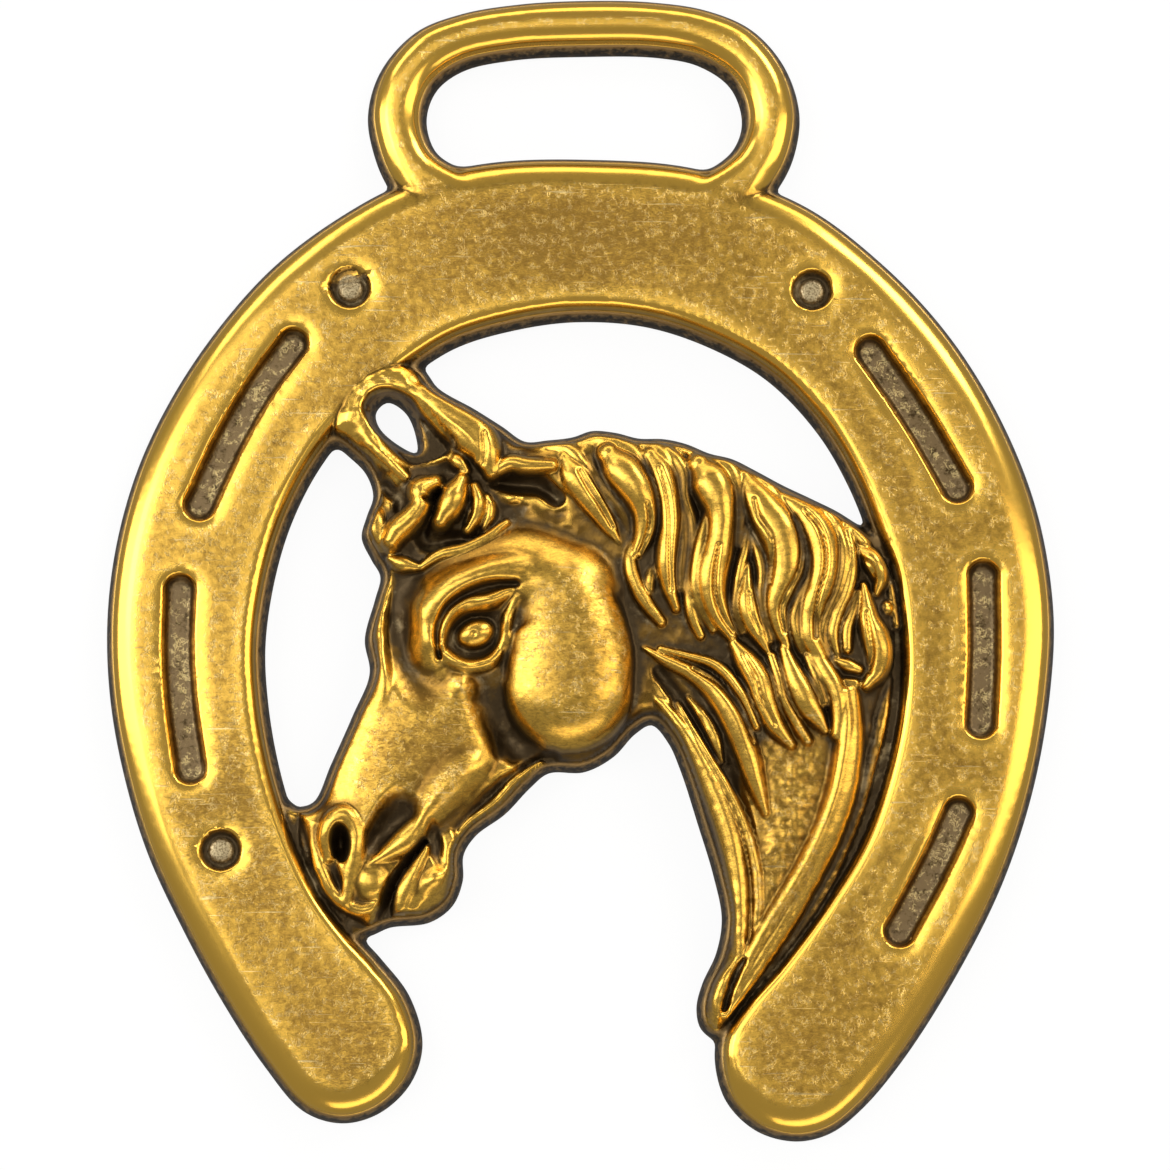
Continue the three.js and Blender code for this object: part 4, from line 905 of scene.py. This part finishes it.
def fill_split_nail(x, y, height):
    """The upper part of the first nail is filled with metal, down to a slanting split."""
    split_half_width = 0.14
    fill_starts = 0.08
    fill_whole = 0.25
    across, up = x - NAILS[0][0], y - NAILS[0][1]
    split = up - 0.45 - 0.35 * across - 0.08 * across ** 2
    filled = np.minimum(SHOE_FACE - 0.45 + 0.12 * across, SHOE_FACE - RIM_DROP)
    filled = NAIL_FLOOR + (filled - NAIL_FLOOR) * smooth_step(split, fill_starts, fill_whole)
    first = np.hypot(across, up) < NAIL_HOLE_RADIUS
    above_split = first & (split > fill_starts)
    height = np.where(above_split, np.maximum(height, filled), height)
    in_split = first & (np.abs(split) < split_half_width)
    return np.where(in_split, np.minimum(height, NAIL_FLOOR), height)


def sink_ear_pocket(distance, height):
    """Steep rounded sides down to a floor a little above the web."""
    side = 0.8
    floor = WEB_FACE + 0.1
    t = np.clip(distance / side, 0, 1)
    sunk = floor + (SHOE_FACE + 0.5 - floor) * np.sqrt(1 - t ** 2)
    return np.where(distance > 0, np.minimum(height, sunk), height)


def casting_height(x, y):
    """Height of the front surface over the back at each place inside the outline."""
    plan = sample(PLAN, x, y)
    distance = {name: sample(grid, x, y) for name, grid in DISTANCE.items()}
    shoe = shoe_height(x, y, distance["shoe"])
    hanger = plate_height(distance["hanger"], HANGER_FACE, HANGER_ROUND)
    height = smooth_max(shoe, hanger, FACE_BLEND)
    in_head = np.nonzero(distance["head"] > 0)[0]
    if len(in_head):
        head = head_height(x[in_head], y[in_head], distance["head"][in_head])
        height[in_head] = np.maximum(height[in_head], head)
    height = sink_groove(x, y, height)
    height = sink_nail(x, y, height)
    height = sink_ear_pocket(distance["ear_pocket"], height)
    hole_wall = wall_height(-distance["ear_hole"])
    near_hole = distance["ear_hole"] > -DRAFT
    height = np.where(near_hole, np.minimum(height, hole_wall), height)
    return np.maximum(height, wall_height(np.minimum(plan, DRAFT)))


# Mesh of the casting

MM = 0.001
HEAD_SPACING = 0.17
SHOULDER_SPACING = 0.34
FACE_SPACING = 0.6
BACK_SPACING = 1.6
EDGE_SPACING = 0.27

# Inset at which the flat face starts, and how far the head's fine mesh runs past the head
FACE_START = 3.2
HEAD_MARGIN = 0.5
HEAD_OVERLAP = 3.0
WALL_LEVELS = (0.0, 0.16, 0.34, DRAFT, DRAFT + LEDGE)
SHOULDER_LEVELS = (0.68, 0.8, 0.98, 1.22)
GROOVE_LEVELS = (GROOVE_FLOOR_HALF_WIDTH, 0.95, 1.15, 1.25, GROOVE_HALF_WIDTH, 1.5)
NAIL_LEVELS = (0.6, 0.9, NAIL_RADIUS, 1.15, NAIL_FLOOR_RADIUS, 1.5, NAIL_HOLE_RADIUS, 1.85)


def contour_loops(field, level):
    """Closed lines along which a grid field has a level, by marching over its cells."""
    above = field >= level
    width = field.shape[1]
    mixed = above[:-1, :-1].astype(int) + above[:-1, 1:] + above[1:, :-1] + above[1:, 1:]
    rows, columns = np.nonzero((mixed > 0) & (mixed < 4))
    links = {}
    for j, i in zip(rows.tolist(), columns.tolist()):
        a, b, c, d = above[j, i], above[j, i + 1], above[j + 1, i + 1], above[j + 1, i]
        here = j * width + i
        crossings = []
        if a != b:
            crossings.append((here, 0))
        if b != c:
            crossings.append((here + 1, 1))
        if c != d:
            crossings.append((here + width, 0))
        if d != a:
            crossings.append((here, 1))
        for one, other in zip(crossings[::2], crossings[1::2]):
            links.setdefault(one, []).append(other)
            links.setdefault(other, []).append(one)
    loops = []
    while links:
        start = next(iter(links))
        loop = [start]
        onward = links.pop(start)[0]
        while onward in links:
            loop.append(onward)
            ahead = links.pop(onward)
            onward = ahead[0] if ahead[0] in links else ahead[1]
        loops.append(np.array([crossing_place(field, level, edge) for edge in loop]))
    return loops


def crossing_place(field, level, edge):
    j, i = divmod(edge[0], field.shape[1])
    j2, i2 = (j, i + 1) if edge[1] == 0 else (j + 1, i)
    low, high = field[j, i], field[j2, i2]
    t = (level - low) / (high - low)
    return GRID_X[i] + t * (i2 - i) * CELL, GRID_Y[j] + t * (j2 - j) * CELL


def even_loop(loop, spacing):
    """The closed line again, in even steps."""
    closed = np.vstack([loop, loop[:1]])
    run = np.concatenate([[0], np.cumsum(np.hypot(*np.diff(closed, axis=0).T))])
    count = max(6, int(round(run[-1] / spacing)))
    at = np.arange(count) * run[-1] / count
    return np.column_stack([np.interp(at, run, closed[:, 0]), np.interp(at, run, closed[:, 1])])


def lattice(spacing):
    """Places of an even triangular lattice over the whole grid."""
    rows = np.arange(GRID_Y[0], GRID_Y[-1], spacing * math.sqrt(0.75))
    x, y = np.meshgrid(np.arange(GRID_X[0], GRID_X[-1], spacing), rows)
    x = x + (np.arange(len(rows)) % 2)[:, None] * spacing / 2
    return x.ravel(), y.ravel()


class Places:
    """Plan places of the mesh: free points, and loops whose edges the mesh must keep."""

    def __init__(self):
        self.points = []
        self.edges = []
        self.count = 0

    def add_points(self, points):
        self.points.append(points)
        self.count += len(points)

    def add_loop(self, loop):
        first = self.count
        self.add_points(loop)
        steps = range(len(loop))
        self.edges += [(first + k, first + (k + 1) % len(loop)) for k in steps]

    def add_levels(self, field, levels, spacing):
        """Loops along the levels of a grid field, but for the smallest."""
        fewest = 12
        for level in levels:
            for loop in contour_loops(field, level):
                if len(loop) > fewest:
                    self.add_loop(even_loop(loop, spacing))

    def triangles(self):
        """Places and faces of the mesh, with all the loops kept as edges."""
        points = np.vstack(self.points)
        result = delaunay_2d_cdt([Vector(p) for p in points], self.edges, [], 0, 1e-5, False)
        places = np.array([(v.x, v.y) for v in result[0]])
        faces = np.array(result[2])
        middle = places[faces].mean(axis=1)
        kept = faces[sample(PLAN, middle[:, 0], middle[:, 1]) > 0]
        a, b, c = places[kept[:, 0]], places[kept[:, 1]], places[kept[:, 2]]
        area = (b[:, 0] - a[:, 0]) * (c[:, 1] - a[:, 1]) - (b[:, 1] - a[:, 1]) * (c[:, 0] - a[:, 0])
        kept[area < 0] = kept[area < 0][:, ::-1]
        return places, kept[np.abs(area) > 1e-6]


def sunk_rings(places):
    """Rings of the grooves and nail holes; gives the distance outside them."""
    grid_x, grid_y = np.meshgrid(GRID_X, GRID_Y)
    outside = []
    for distance, levels in ((groove_distance, GROOVE_LEVELS), (nail_distance, NAIL_LEVELS)):
        field = distance(grid_x.ravel(), grid_y.ravel()).reshape(grid_x.shape)
        places.add_levels(field, levels, EDGE_SPACING)
        outside.append(field - levels[-1])
    return np.min(outside, axis=0)


def shoulder_rings(places, in_head):
    """Rings up the rounded shoulders of the shoe and the hanger."""
    for level in SHOULDER_LEVELS:
        for loop in contour_loops(PLAN, level):
            ring = even_loop(loop, EDGE_SPACING)
            places.add_points(ring[sample(in_head, ring[:, 0], ring[:, 1]) < 0])


def front_places(outline_loops):
    """Rings up the edges, grooves and nail holes, and a lattice that is finest in the head."""
    places = Places()
    for loop in outline_loops:
        places.add_loop(loop)
    places.add_levels(PLAN, WALL_LEVELS[1:], EDGE_SPACING)
    sunk = sunk_rings(places)
    in_head = np.minimum(DISTANCE["head"] + HEAD_MARGIN, HEAD_OVERLAP - DISTANCE["shoe"])
    in_head = np.maximum(in_head, -FAR)
    shoulder_rings(places, in_head)
    innermost = FAR + 1
    for spacing, side, inner, outer in (
        (HEAD_SPACING, 1, WALL_LEVELS[-1] + HEAD_SPACING * 0.5, innermost),
        (SHOULDER_SPACING, -1, SHOULDER_LEVELS[-1] + SHOULDER_SPACING * 0.4, FACE_START),
        (FACE_SPACING, -1, FACE_START + FACE_SPACING * 0.4, innermost),
    ):
        x, y = lattice(spacing)
        plan = sample(PLAN, x, y)
        chosen = (side * sample(in_head, x, y) > 0) & (plan > inner) & (plan <= outer)
        chosen &= sample(sunk, x, y) > spacing * 0.4
        places.add_points(np.column_stack([x[chosen], y[chosen]]))
    x, y = lattice(SHOULDER_SPACING)
    chosen = sample(sunk, x, y) < 0
    places.add_points(np.column_stack([x[chosen], y[chosen]]))
    return places


def back_places(outline_loops):
    """Coarser rings and lattice for the plain flat back."""
    places = Places()
    for loop in outline_loops:
        places.add_loop(loop)
    places.add_levels(PLAN, [BACK_ROUND], 2 * EDGE_SPACING)
    x, y = lattice(BACK_SPACING)
    chosen = sample(PLAN, x, y) > BACK_SPACING / 2
    places.add_points(np.column_stack([x[chosen], y[chosen]]))
    return places


def blurred(field, spread):
    """The grid field evened out over a spread in millimetres."""
    reach = max(1, int(round(spread / CELL)))
    passes = 3
    for axis in (0, 1) * passes:
        padding = [(reach + 1, reach) if k == axis else (0, 0) for k in (0, 1)]
        total = np.cumsum(np.pad(field, padding, mode="edge"), axis=axis)
        count = field.shape[axis]
        high = np.take(total, np.arange(2 * reach + 1, 2 * reach + 1 + count), axis=axis)
        low = np.take(total, np.arange(count), axis=axis)
        field = (high - low) / (2 * reach + 1)
    return field


def rubbed_places(x, y, height, in_head):
    """1 on the flats that carry fine scratches, mottling and painted shade, 0 on the smooth rounded
    parts.
    """
    slope_y, slope_x = np.gradient(blurred(height, 0.3), CELL)
    flat = 1 - smooth_step(np.hypot(slope_x, slope_y), 0.07, 0.2)
    relief = Relief(x, y, height)
    nose = 1 - relief.across((-12.6, -15.2), (7.5, 4.6), 58) ** 4
    cheek = 1 - relief.across((-0.4, -7.2), (4.7, 6.6), 0) ** 4
    neck = 1 - relief.across((16.2, -20.5), (3.0, 9.0), -12) ** 4
    patches = np.clip(np.max([nose, cheek, neck], axis=0) * 2, 0, 1)
    return patches * in_head + flat * (1 - in_head)


def painted_shade_patches(x, y, height):
    """Painted shade: where the broad faces are made darker and a little rougher: crown, heels, lower
    left, upper right, cheek and nose.
    """
    relief = Relief(x, y, height)
    patches = [
        ((-1, 25.5), (18, 7.5), -3, 1.0), ((-17.5, -37.5), (8, 9), 20, 0.8),
        ((-27, -21), (6, 12), 25, 0.9), ((17, -37.5), (8, 9), -20, 0.5),
        ((26.5, 9), (5.5, 13), 30, 0.5), ((0, -6), (4, 5), 0, 0.4), ((-11.5, -15.5), (5, 5), 0, 0.8),
    ]
    shares = [
        strength * np.clip(1 - relief.across(centre, radii, degrees) ** 2, 0, 1)
        for centre, radii, degrees, strength in patches
    ]
    return np.max(shares, axis=0)


def surface_fields():
    """Grid fields that steer the finish and the painted shade: how deep a place lies among its
    surroundings.
    """
    grid_x, grid_y = np.meshgrid(GRID_X, GRID_Y)
    inside = np.nonzero(PLAN.ravel() > 0)[0]
    height = np.full(PLAN.size, 1.0)
    height[inside] = casting_height(grid_x.ravel()[inside], grid_y.ravel()[inside])
    height = height.reshape(PLAN.shape)
    level = blurred(height, 0.1)
    slope_y, slope_x = np.gradient(level, CELL)
    in_head = smooth_step(DISTANCE["head"], 0, 1) * smooth_step(-DISTANCE["shoe"], 0, 0.6)
    neck = Relief(grid_x, grid_y, height).across((15.2, -21.5), (4.6, 11.5), -14)
    neck_plain = smooth_step(neck, 1.0, 0.7)
    return {
        "hollow_fine": (blurred(height, 0.25) - level) * (1 - 0.5 * neck_plain),
        "hollow_broad": (blurred(height, 0.75) - level) * (1 - 0.8 * neck_plain),
        # steepness; steep slopes get painted shade
        "slope": np.hypot(slope_x, slope_y),
        "head": in_head,
        "head_low": np.clip((4.2 - level) / 1.6, 0, 1) * in_head * (1 - neck_plain),
        "rubbed": rubbed_places(grid_x, grid_y, height, in_head),
        # painted shade: broad darker patches on the faces
        "painted_face_shade": painted_shade_patches(grid_x, grid_y, height),
        "nail": smooth_step(NAIL_RADIUS - nail_distance(grid_x, grid_y), -0.05, 0.1),
        "groove": smooth_step(GROOVE_FLOOR_HALF_WIDTH - groove_distance(grid_x, grid_y), -0.1, 0.1),
    }


def add_fields(mesh, places):
    """The fields at each vertex, none of them on the back, and the inset from the outline."""
    on_back = places[:, 2] < 0.02
    values = {
        name: np.where(on_back, 0, sample(grid, places[:, 0], places[:, 1]))
        for name, grid in surface_fields().items()
    }
    values["inset"] = sample(PLAN, places[:, 0], places[:, 1])
    for name, numbers in values.items():
        attribute = mesh.attributes.new(name, "FLOAT", "POINT")
        attribute.data.foreach_set("value", numbers.astype(np.float32))


def casting_object():
    """Front and back joined along the outline, as one closed mesh."""
    outline_loops = [even_loop(loop, EDGE_SPACING) for loop in contour_loops(PLAN, 0.0)]
    front, front_faces = front_places(outline_loops).triangles()
    back, back_faces = back_places(outline_loops).triangles()
    front_z = casting_height(front[:, 0], front[:, 1])
    rim = sample(PLAN, front[:, 0], front[:, 1]) < 0.02
    front_z[rim] = BACK_ROUND_HEIGHT
    back_depth = np.clip(sample(PLAN, back[:, 0], back[:, 1]) / BACK_ROUND, 0, 1)
    back_z = BACK_ROUND_HEIGHT * (1 - back_depth)
    shared = {tuple(np.round(place, 3)): k for k, place in enumerate(front) if rim[k]}
    number = np.arange(len(back)) + len(front)
    for k in np.nonzero(back_depth < 0.3)[0]:
        number[k] = shared.get(tuple(np.round(back[k], 3)), number[k])
    places = np.vstack([np.column_stack([front, front_z]), np.column_stack([back, back_z])])
    faces = np.vstack([front_faces, number[back_faces][:, ::-1]])
    used, faces = np.unique(faces, return_inverse=True)
    places = places[used]
    faces = faces.reshape(-1, 3)
    mesh = bpy.data.meshes.new("casting")
    mesh.from_pydata((places * MM).tolist(), [], faces.tolist())
    mesh.update()
    add_fields(mesh, places)
    mesh.shade_smooth()
    casting = bpy.data.objects.new("horse_brass_casting", mesh)
    bpy.context.scene.collection.objects.link(casting)
    return casting


# Materials

class Nodes:
    """Short ways to add and join nodes of one material."""

    def __init__(self, name):
        self.material = bpy.data.materials.new(name)
        self.material.use_nodes = True
        self.tree = self.material.node_tree
        self.tree.nodes.clear()

    def add(self, kind, **settings):
        node = self.tree.nodes.new(kind)
        for key, value in settings.items():
            setattr(node, key, value)
        return node

    def put(self, socket, value):
        if isinstance(value, bpy.types.NodeSocket):
            self.tree.links.new(value, socket)
        else:
            socket.default_value = value

    def math(self, operation, a, b=0.0, clamp=False):
        node = self.add("ShaderNodeMath", operation=operation, use_clamp=clamp)
        self.put(node.inputs[0], a)
        self.put(node.inputs[1], b)
        return node.outputs[0]

    def times(self, a, b):
        return self.math("MULTIPLY", a, b)

    def plus(self, a, b):
        return self.math("ADD", a, b)

    def larger(self, a, b):
        return self.math("MAXIMUM", a, b)

    def ramp(self, value, low, high, to_low=0.0, to_high=1.0):
        node = self.add("ShaderNodeMapRange", interpolation_type="SMOOTHSTEP")
        self.put(node.inputs["Value"], value)
        for name, number in (("From Min", low), ("From Max", high)):
            self.put(node.inputs[name], number)
        for name, number in (("To Min", to_low), ("To Max", to_high)):
            self.put(node.inputs[name], number)
        return node.outputs["Result"]

    def mix(self, factor, a, b):
        node = self.add("ShaderNodeMix", data_type="RGBA")
        self.put(node.inputs["Factor"], factor)
        self.put(node.inputs[6], a)
        self.put(node.inputs[7], b)
        return node.outputs[2]

    def mix_value(self, factor, a, b):
        node = self.add("ShaderNodeMix", data_type="FLOAT")
        self.put(node.inputs["Factor"], factor)
        self.put(node.inputs[2], a)
        self.put(node.inputs[3], b)
        return node.outputs[0]

    def attribute(self, name):
        return self.add("ShaderNodeAttribute", attribute_name=name).outputs["Fac"]

    def place(self, stretch=(1, 1, 1), degrees=0.0, shift=(0, 0, 0)):
        """The casting's own coordinates in millimetres, turned and stretched."""
        mapping = self.add("ShaderNodeMapping")
        self.put(mapping.inputs["Vector"], self.add("ShaderNodeTexCoord").outputs["Object"])
        mapping.inputs["Scale"].default_value = [s / MM for s in stretch]
        mapping.inputs["Rotation"].default_value = (0, 0, math.radians(degrees))
        mapping.inputs["Location"].default_value = shift
        return mapping.outputs["Vector"]

    def noise(self, vector, scale, detail=3.0, roughness=0.55, distortion=0.0):
        node = self.add("ShaderNodeTexNoise")
        self.put(node.inputs["Vector"], vector)
        self.put(node.inputs["Scale"], scale)
        self.put(node.inputs["Detail"], detail)
        self.put(node.inputs["Roughness"], roughness)
        self.put(node.inputs["Distortion"], distortion)
        return node.outputs["Fac"]

    def near(self, value, middle, width):
        """1 where a value is close to a middle, falling to 0 over a width: a thin line."""
        away = self.math("ABSOLUTE", self.math("SUBTRACT", value, middle))
        return self.ramp(away, 0, width, 1, 0)

    def bump(self, height, strength, distance):
        node = self.add("ShaderNodeBump")
        self.put(node.inputs["Height"], height)
        node.inputs["Strength"].default_value = strength
        node.inputs["Distance"].default_value = distance
        return node.outputs["Normal"]

    def output(self, shader):
        self.put(self.add("ShaderNodeOutputMaterial").inputs["Surface"], shader)
        return self.material


# Colours of the finish, as linear values
BRASS_BRIGHT = (0.95, 0.565, 0.09, 1)
# duller brass, also the colour of the painted shade patches on the faces
BRASS_DULL_AND_SHADE = (0.35, 0.215, 0.045, 1)
BRASS_BROWN = (0.26, 0.140, 0.026, 1)
BRASS_PALE = (1.0, 0.78, 0.34, 1)
PATINA_BROWN = (0.070, 0.045, 0.019, 1)
PATINA_GREY = (0.27, 0.200, 0.100, 1)
LACQUER_DARK = (0.038, 0.028, 0.017, 1)
LACQUER_BROWN = (0.30, 0.190, 0.075, 1)
COPPER_BROWN = (0.24, 0.165, 0.080, 1)
NAIL_GREY = (0.56, 0.45, 0.26, 1)


def scratch_lines(n):
    """Fine curved rubbing marks, and a few longer straight scratches, each 0 to 1."""
    swirls = n.near(n.noise(n.place(), 0.9, 2, 0.5, 1.8), 0.5, 0.040)
    small_swirls = n.near(n.noise(n.place(shift=(7, 3, 0)), 1.9, 2, 0.5, 1.4), 0.5, 0.070)
    broken = n.ramp(n.noise(n.place(shift=(2, 9, 0)), 1.3, 3, 0.6), 0.48, 0.60)
    down_right = n.ramp(n.noise(n.place((0.16, 4.0, 1), 58), 1.0, 2, 0.5), 0.67, 0.72)
    across = n.ramp(n.noise(n.place((0.20, 4.0, 1), 12, (3, 5, 0)), 1.0, 2, 0.5), 0.72, 0.77)
    return n.times(n.larger(swirls, small_swirls), broken), n.larger(down_right, across)


def depth_of_dirt(n, grain):
    """How deep a place lies among its surroundings, with ragged limits."""
    broad = n.times(n.attribute("hollow_broad"), 1.1)
    fine = n.times(n.attribute("hollow_fine"), 2.6)
    low = n.times(n.attribute("head_low"), 0.45)
    ragged = n.times(n.math("SUBTRACT", grain, 0.5), 0.45)
    return n.plus(n.plus(broad, fine), n.plus(low, ragged))


def dullness_and_shade(n, wisps, marks):
    """How far the rubbed places lose their shine and darken, from mottling and from painted shade
    patches, less where they are scratched.
    """
    blotches = n.noise(n.place((0.7, 1.3, 1), 35), 0.22, 5, 0.62, 0.6)
    dull_and_shade = n.plus(n.times(blotches, 0.5), n.times(wisps, 1.5))
    # painted shade: the broad patches darken the faces
    dull_and_shade = n.plus(dull_and_shade, n.times(n.attribute("painted_face_shade"), 0.38))
    dull_and_shade = n.times(n.ramp(dull_and_shade, 1.04, 1.50), n.attribute("rubbed"))
    return n.math("SUBTRACT", dull_and_shade, n.times(marks, 0.6), True)


def brass_colour(n, dull_and_shade, marks, wisps, depth):
    """Rubbed brass, darker under painted shade patches, with pale scratches, browner in the head and
    towards the hollows.
    """
    brass = n.mix(dull_and_shade, BRASS_BRIGHT, BRASS_DULL_AND_SHADE)
    brass = n.mix(n.times(marks, 0.85), brass, BRASS_PALE)
    brown = n.times(n.ramp(wisps, 0.40, 0.66, 0.1, 0.6), n.attribute("head"))
    brass = n.mix(brown, brass, BRASS_BROWN)
    return n.mix(n.ramp(depth, -0.19, 0.16), brass, BRASS_BROWN)


def patina_colour(n, grain, inset, wall):
    """Brown and grey dirt in the hollows, and worn dark lacquer on the walls; the same colours paint
    shade on steep slopes.
    """
    grey = n.plus(n.noise(n.place(), 0.33, 2, 0.5), n.times(grain, 0.5))
    patina = n.mix(n.ramp(grey, 0.80, 1.0), PATINA_BROWN, PATINA_GREY)
    worn = n.plus(n.ramp(inset, 0.15, 0.60, 0, 0.35), grain)
    lacquer = n.mix(n.ramp(worn, 0.48, 0.76), LACQUER_DARK, LACQUER_BROWN)
    return n.mix(wall, patina, lacquer)


def groove_floor_colour(n, swirls):
    """Coppery floor with dirt in patches and a few bright marks."""
    dirt = n.ramp(n.noise(n.place(), 1.8, 5, 0.7), 0.48, 0.68)
    floor = n.mix(dirt, COPPER_BROWN, PATINA_BROWN)
    return n.mix(n.times(swirls, 0.6), floor, BRASS_PALE)


def aged_brass():
    """Rubbed brass with fine scratches, over dark patina in the hollows and on the walls, with painted
    shade on steep slopes and in broad patches of the faces.
    """
    n = Nodes("aged_brass")
    grain = n.noise(n.place(), 1.5, 6, 0.7)
    fine_grain = n.noise(n.place(), 7.0, 3, 0.6)
    wisps = n.noise(n.place((0.8, 1.7, 1), 4), 2.1, 6, 0.74, 1.3)
    swirls, scratches = scratch_lines(n)
    rubbed, in_head, inset = n.attribute("rubbed"), n.attribute("head"), n.attribute("inset")
    marks = n.times(n.larger(n.times(swirls, 0.7), scratches), rubbed)
    depth = depth_of_dirt(n, grain)
    dull_and_shade = dullness_and_shade(n, wisps, marks)
    dirty = n.ramp(depth, 0.10, 0.60)
    # painted shade: steep slopes are darkened towards the patina colours
    steep = n.ramp(n.attribute("slope"), 1.5, 2.8)
    wall = n.ramp(inset, 0.72, 0.50)
    dark = n.larger(n.larger(dirty, n.times(steep, 0.65)), wall)
    brass = brass_colour(n, dull_and_shade, marks, wisps, depth)
    colour = n.mix(dark, brass, patina_colour(n, grain, inset, wall))
    in_groove, on_nail = n.attribute("groove"), n.attribute("nail")
    colour = n.mix(in_groove, colour, groove_floor_colour(n, swirls))
    nail_colour = n.mix(n.ramp(fine_grain, 0.45, 0.6), NAIL_GREY, PATINA_GREY)
    colour = n.mix(on_nail, colour, nail_colour)
    matte = n.larger(dark, n.larger(in_groove, on_nail))
    height = n.plus(n.times(grain, 0.5), n.times(fine_grain, 0.25))
    height = n.math("SUBTRACT", height, n.times(marks, 0.45))
    smooth_grain = n.mix_value(in_head, 0.12, 0.45)
    uneven = n.larger(rubbed, n.larger(n.times(matte, 1.8), smooth_grain))
    smooth = n.mix_value(in_head, 0.19, 0.27)
    polished = n.mix_value(rubbed, smooth, n.mix_value(dull_and_shade, 0.30, 0.48))
    shader = n.add("ShaderNodeBsdfPrincipled")
    n.put(shader.inputs["Base Color"], colour)
    n.put(shader.inputs["Metallic"], n.mix_value(dark, 1.0, 0.85))
    n.put(shader.inputs["Roughness"], n.mix_value(matte, polished, 0.42))
    n.put(shader.inputs["Normal"], n.bump(n.times(height, uneven), 0.55, 0.07 * MM))
    return n.output(shader.outputs[0])


def pale_floor_material():
    n = Nodes("pale_floor")
    matte = n.add("ShaderNodeBsdfDiffuse")
    matte.inputs["Color"].default_value = (0.85, 0.85, 0.85, 1)
    glow = n.add("ShaderNodeEmission")
    glow.inputs["Color"].default_value = (1, 1, 1, 1)
    glow.inputs["Strength"].default_value = 1.02
    both = n.add("ShaderNodeMixShader")
    both.inputs[0].default_value = 0.9
    n.put(both.inputs[1], matte.outputs[0])
    n.put(both.inputs[2], glow.outputs[0])
    return n.output(both.outputs[0])


# Studio

WHITE = (1.0, 1.0, 1.0)
WARM = (1.0, 0.90, 0.74)

# Name, place, size, watts and tint of each light, in metres
LIGHTS = [
    ("left_softbox", (-0.80, 0.12, 0.55), (0.45, 0.9), 3.7, WHITE),
    ("high_left_softbox", (-0.40, 0.18, 0.90), (0.4, 0.8), 1.9, WHITE),
    ("right_softbox", (0.75, 0.05, 0.65), (0.4, 0.9), 2.6, WARM),
    ("right_back_lamp", (0.55, 0.60, 0.50), (0.35, 0.35), 2.5, WHITE),
    ("left_back_lamp", (-0.55, 0.65, 0.45), (0.3, 0.3), 0.7, WHITE),
    ("back_softbox", (0.0, 0.95, 0.35), (1.2, 0.3), 2.6, WARM),
    ("front_softbox", (0.25, -0.80, 0.50), (1.1, 0.35), 2.0, WARM),
]


def area_light(name, place, size, watts, tint):
    """Rectangular light that faces the casting."""
    data = bpy.data.lights.new(name, "AREA")
    data.shape = "RECTANGLE"
    data.size, data.size_y = size
    data.energy = watts
    data.color = tint
    light = bpy.data.objects.new(name, data)
    light.location = place
    light.rotation_euler = (-Vector(place)).to_track_quat("-Z", "Y").to_euler()
    bpy.context.scene.collection.objects.link(light)


def studio():
    """Even pale surroundings, the lights, and the floor."""
    world = bpy.data.worlds.new("studio")
    world.use_nodes = True
    sky = world.node_tree.nodes["Background"]
    sky.inputs["Color"].default_value = WHITE + (1,)
    sky.inputs["Strength"].default_value = 0.31
    bpy.context.scene.world = world
    for light in LIGHTS:
        area_light(*light)
    floor_data = bpy.data.meshes.new("pale_floor")
    half = 2.0
    corners = [(-half, -half, 0), (half, -half, 0), (half, half, 0), (-half, half, 0)]
    floor_data.from_pydata(corners, [], [(0, 1, 2, 3)])
    floor = bpy.data.objects.new("pale_floor", floor_data)
    floor.location.z = -0.02 * MM
    floor_data.materials.append(pale_floor_material())
    floor.visible_glossy = False
    bpy.context.scene.collection.objects.link(floor)


def camera():
    """Looks down on the casting, a little from its foot, from 375 mm."""
    aim = Vector((0.36, -1.82, 0)) * MM
    distance = 375 * MM
    tilt = math.radians(7.5)
    half_view = 0.12324
    data = bpy.data.cameras.new("camera")
    data.lens = data.sensor_width / 2 / half_view
    data.clip_start = 0.01
    view = bpy.data.objects.new("camera", data)
    view.location = aim + distance * Vector((0, -math.sin(tilt), math.cos(tilt)))
    view.rotation_euler = (aim - view.location).to_track_quat("-Z", "Y").to_euler()
    bpy.context.scene.collection.objects.link(view)
    bpy.context.scene.camera = view


casting = casting_object()
casting.data.materials.append(aged_brass())
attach(casting, "root")
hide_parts("horse_brass")
studio()
camera()
bpy.context.scene.view_settings.view_transform = "Standard"
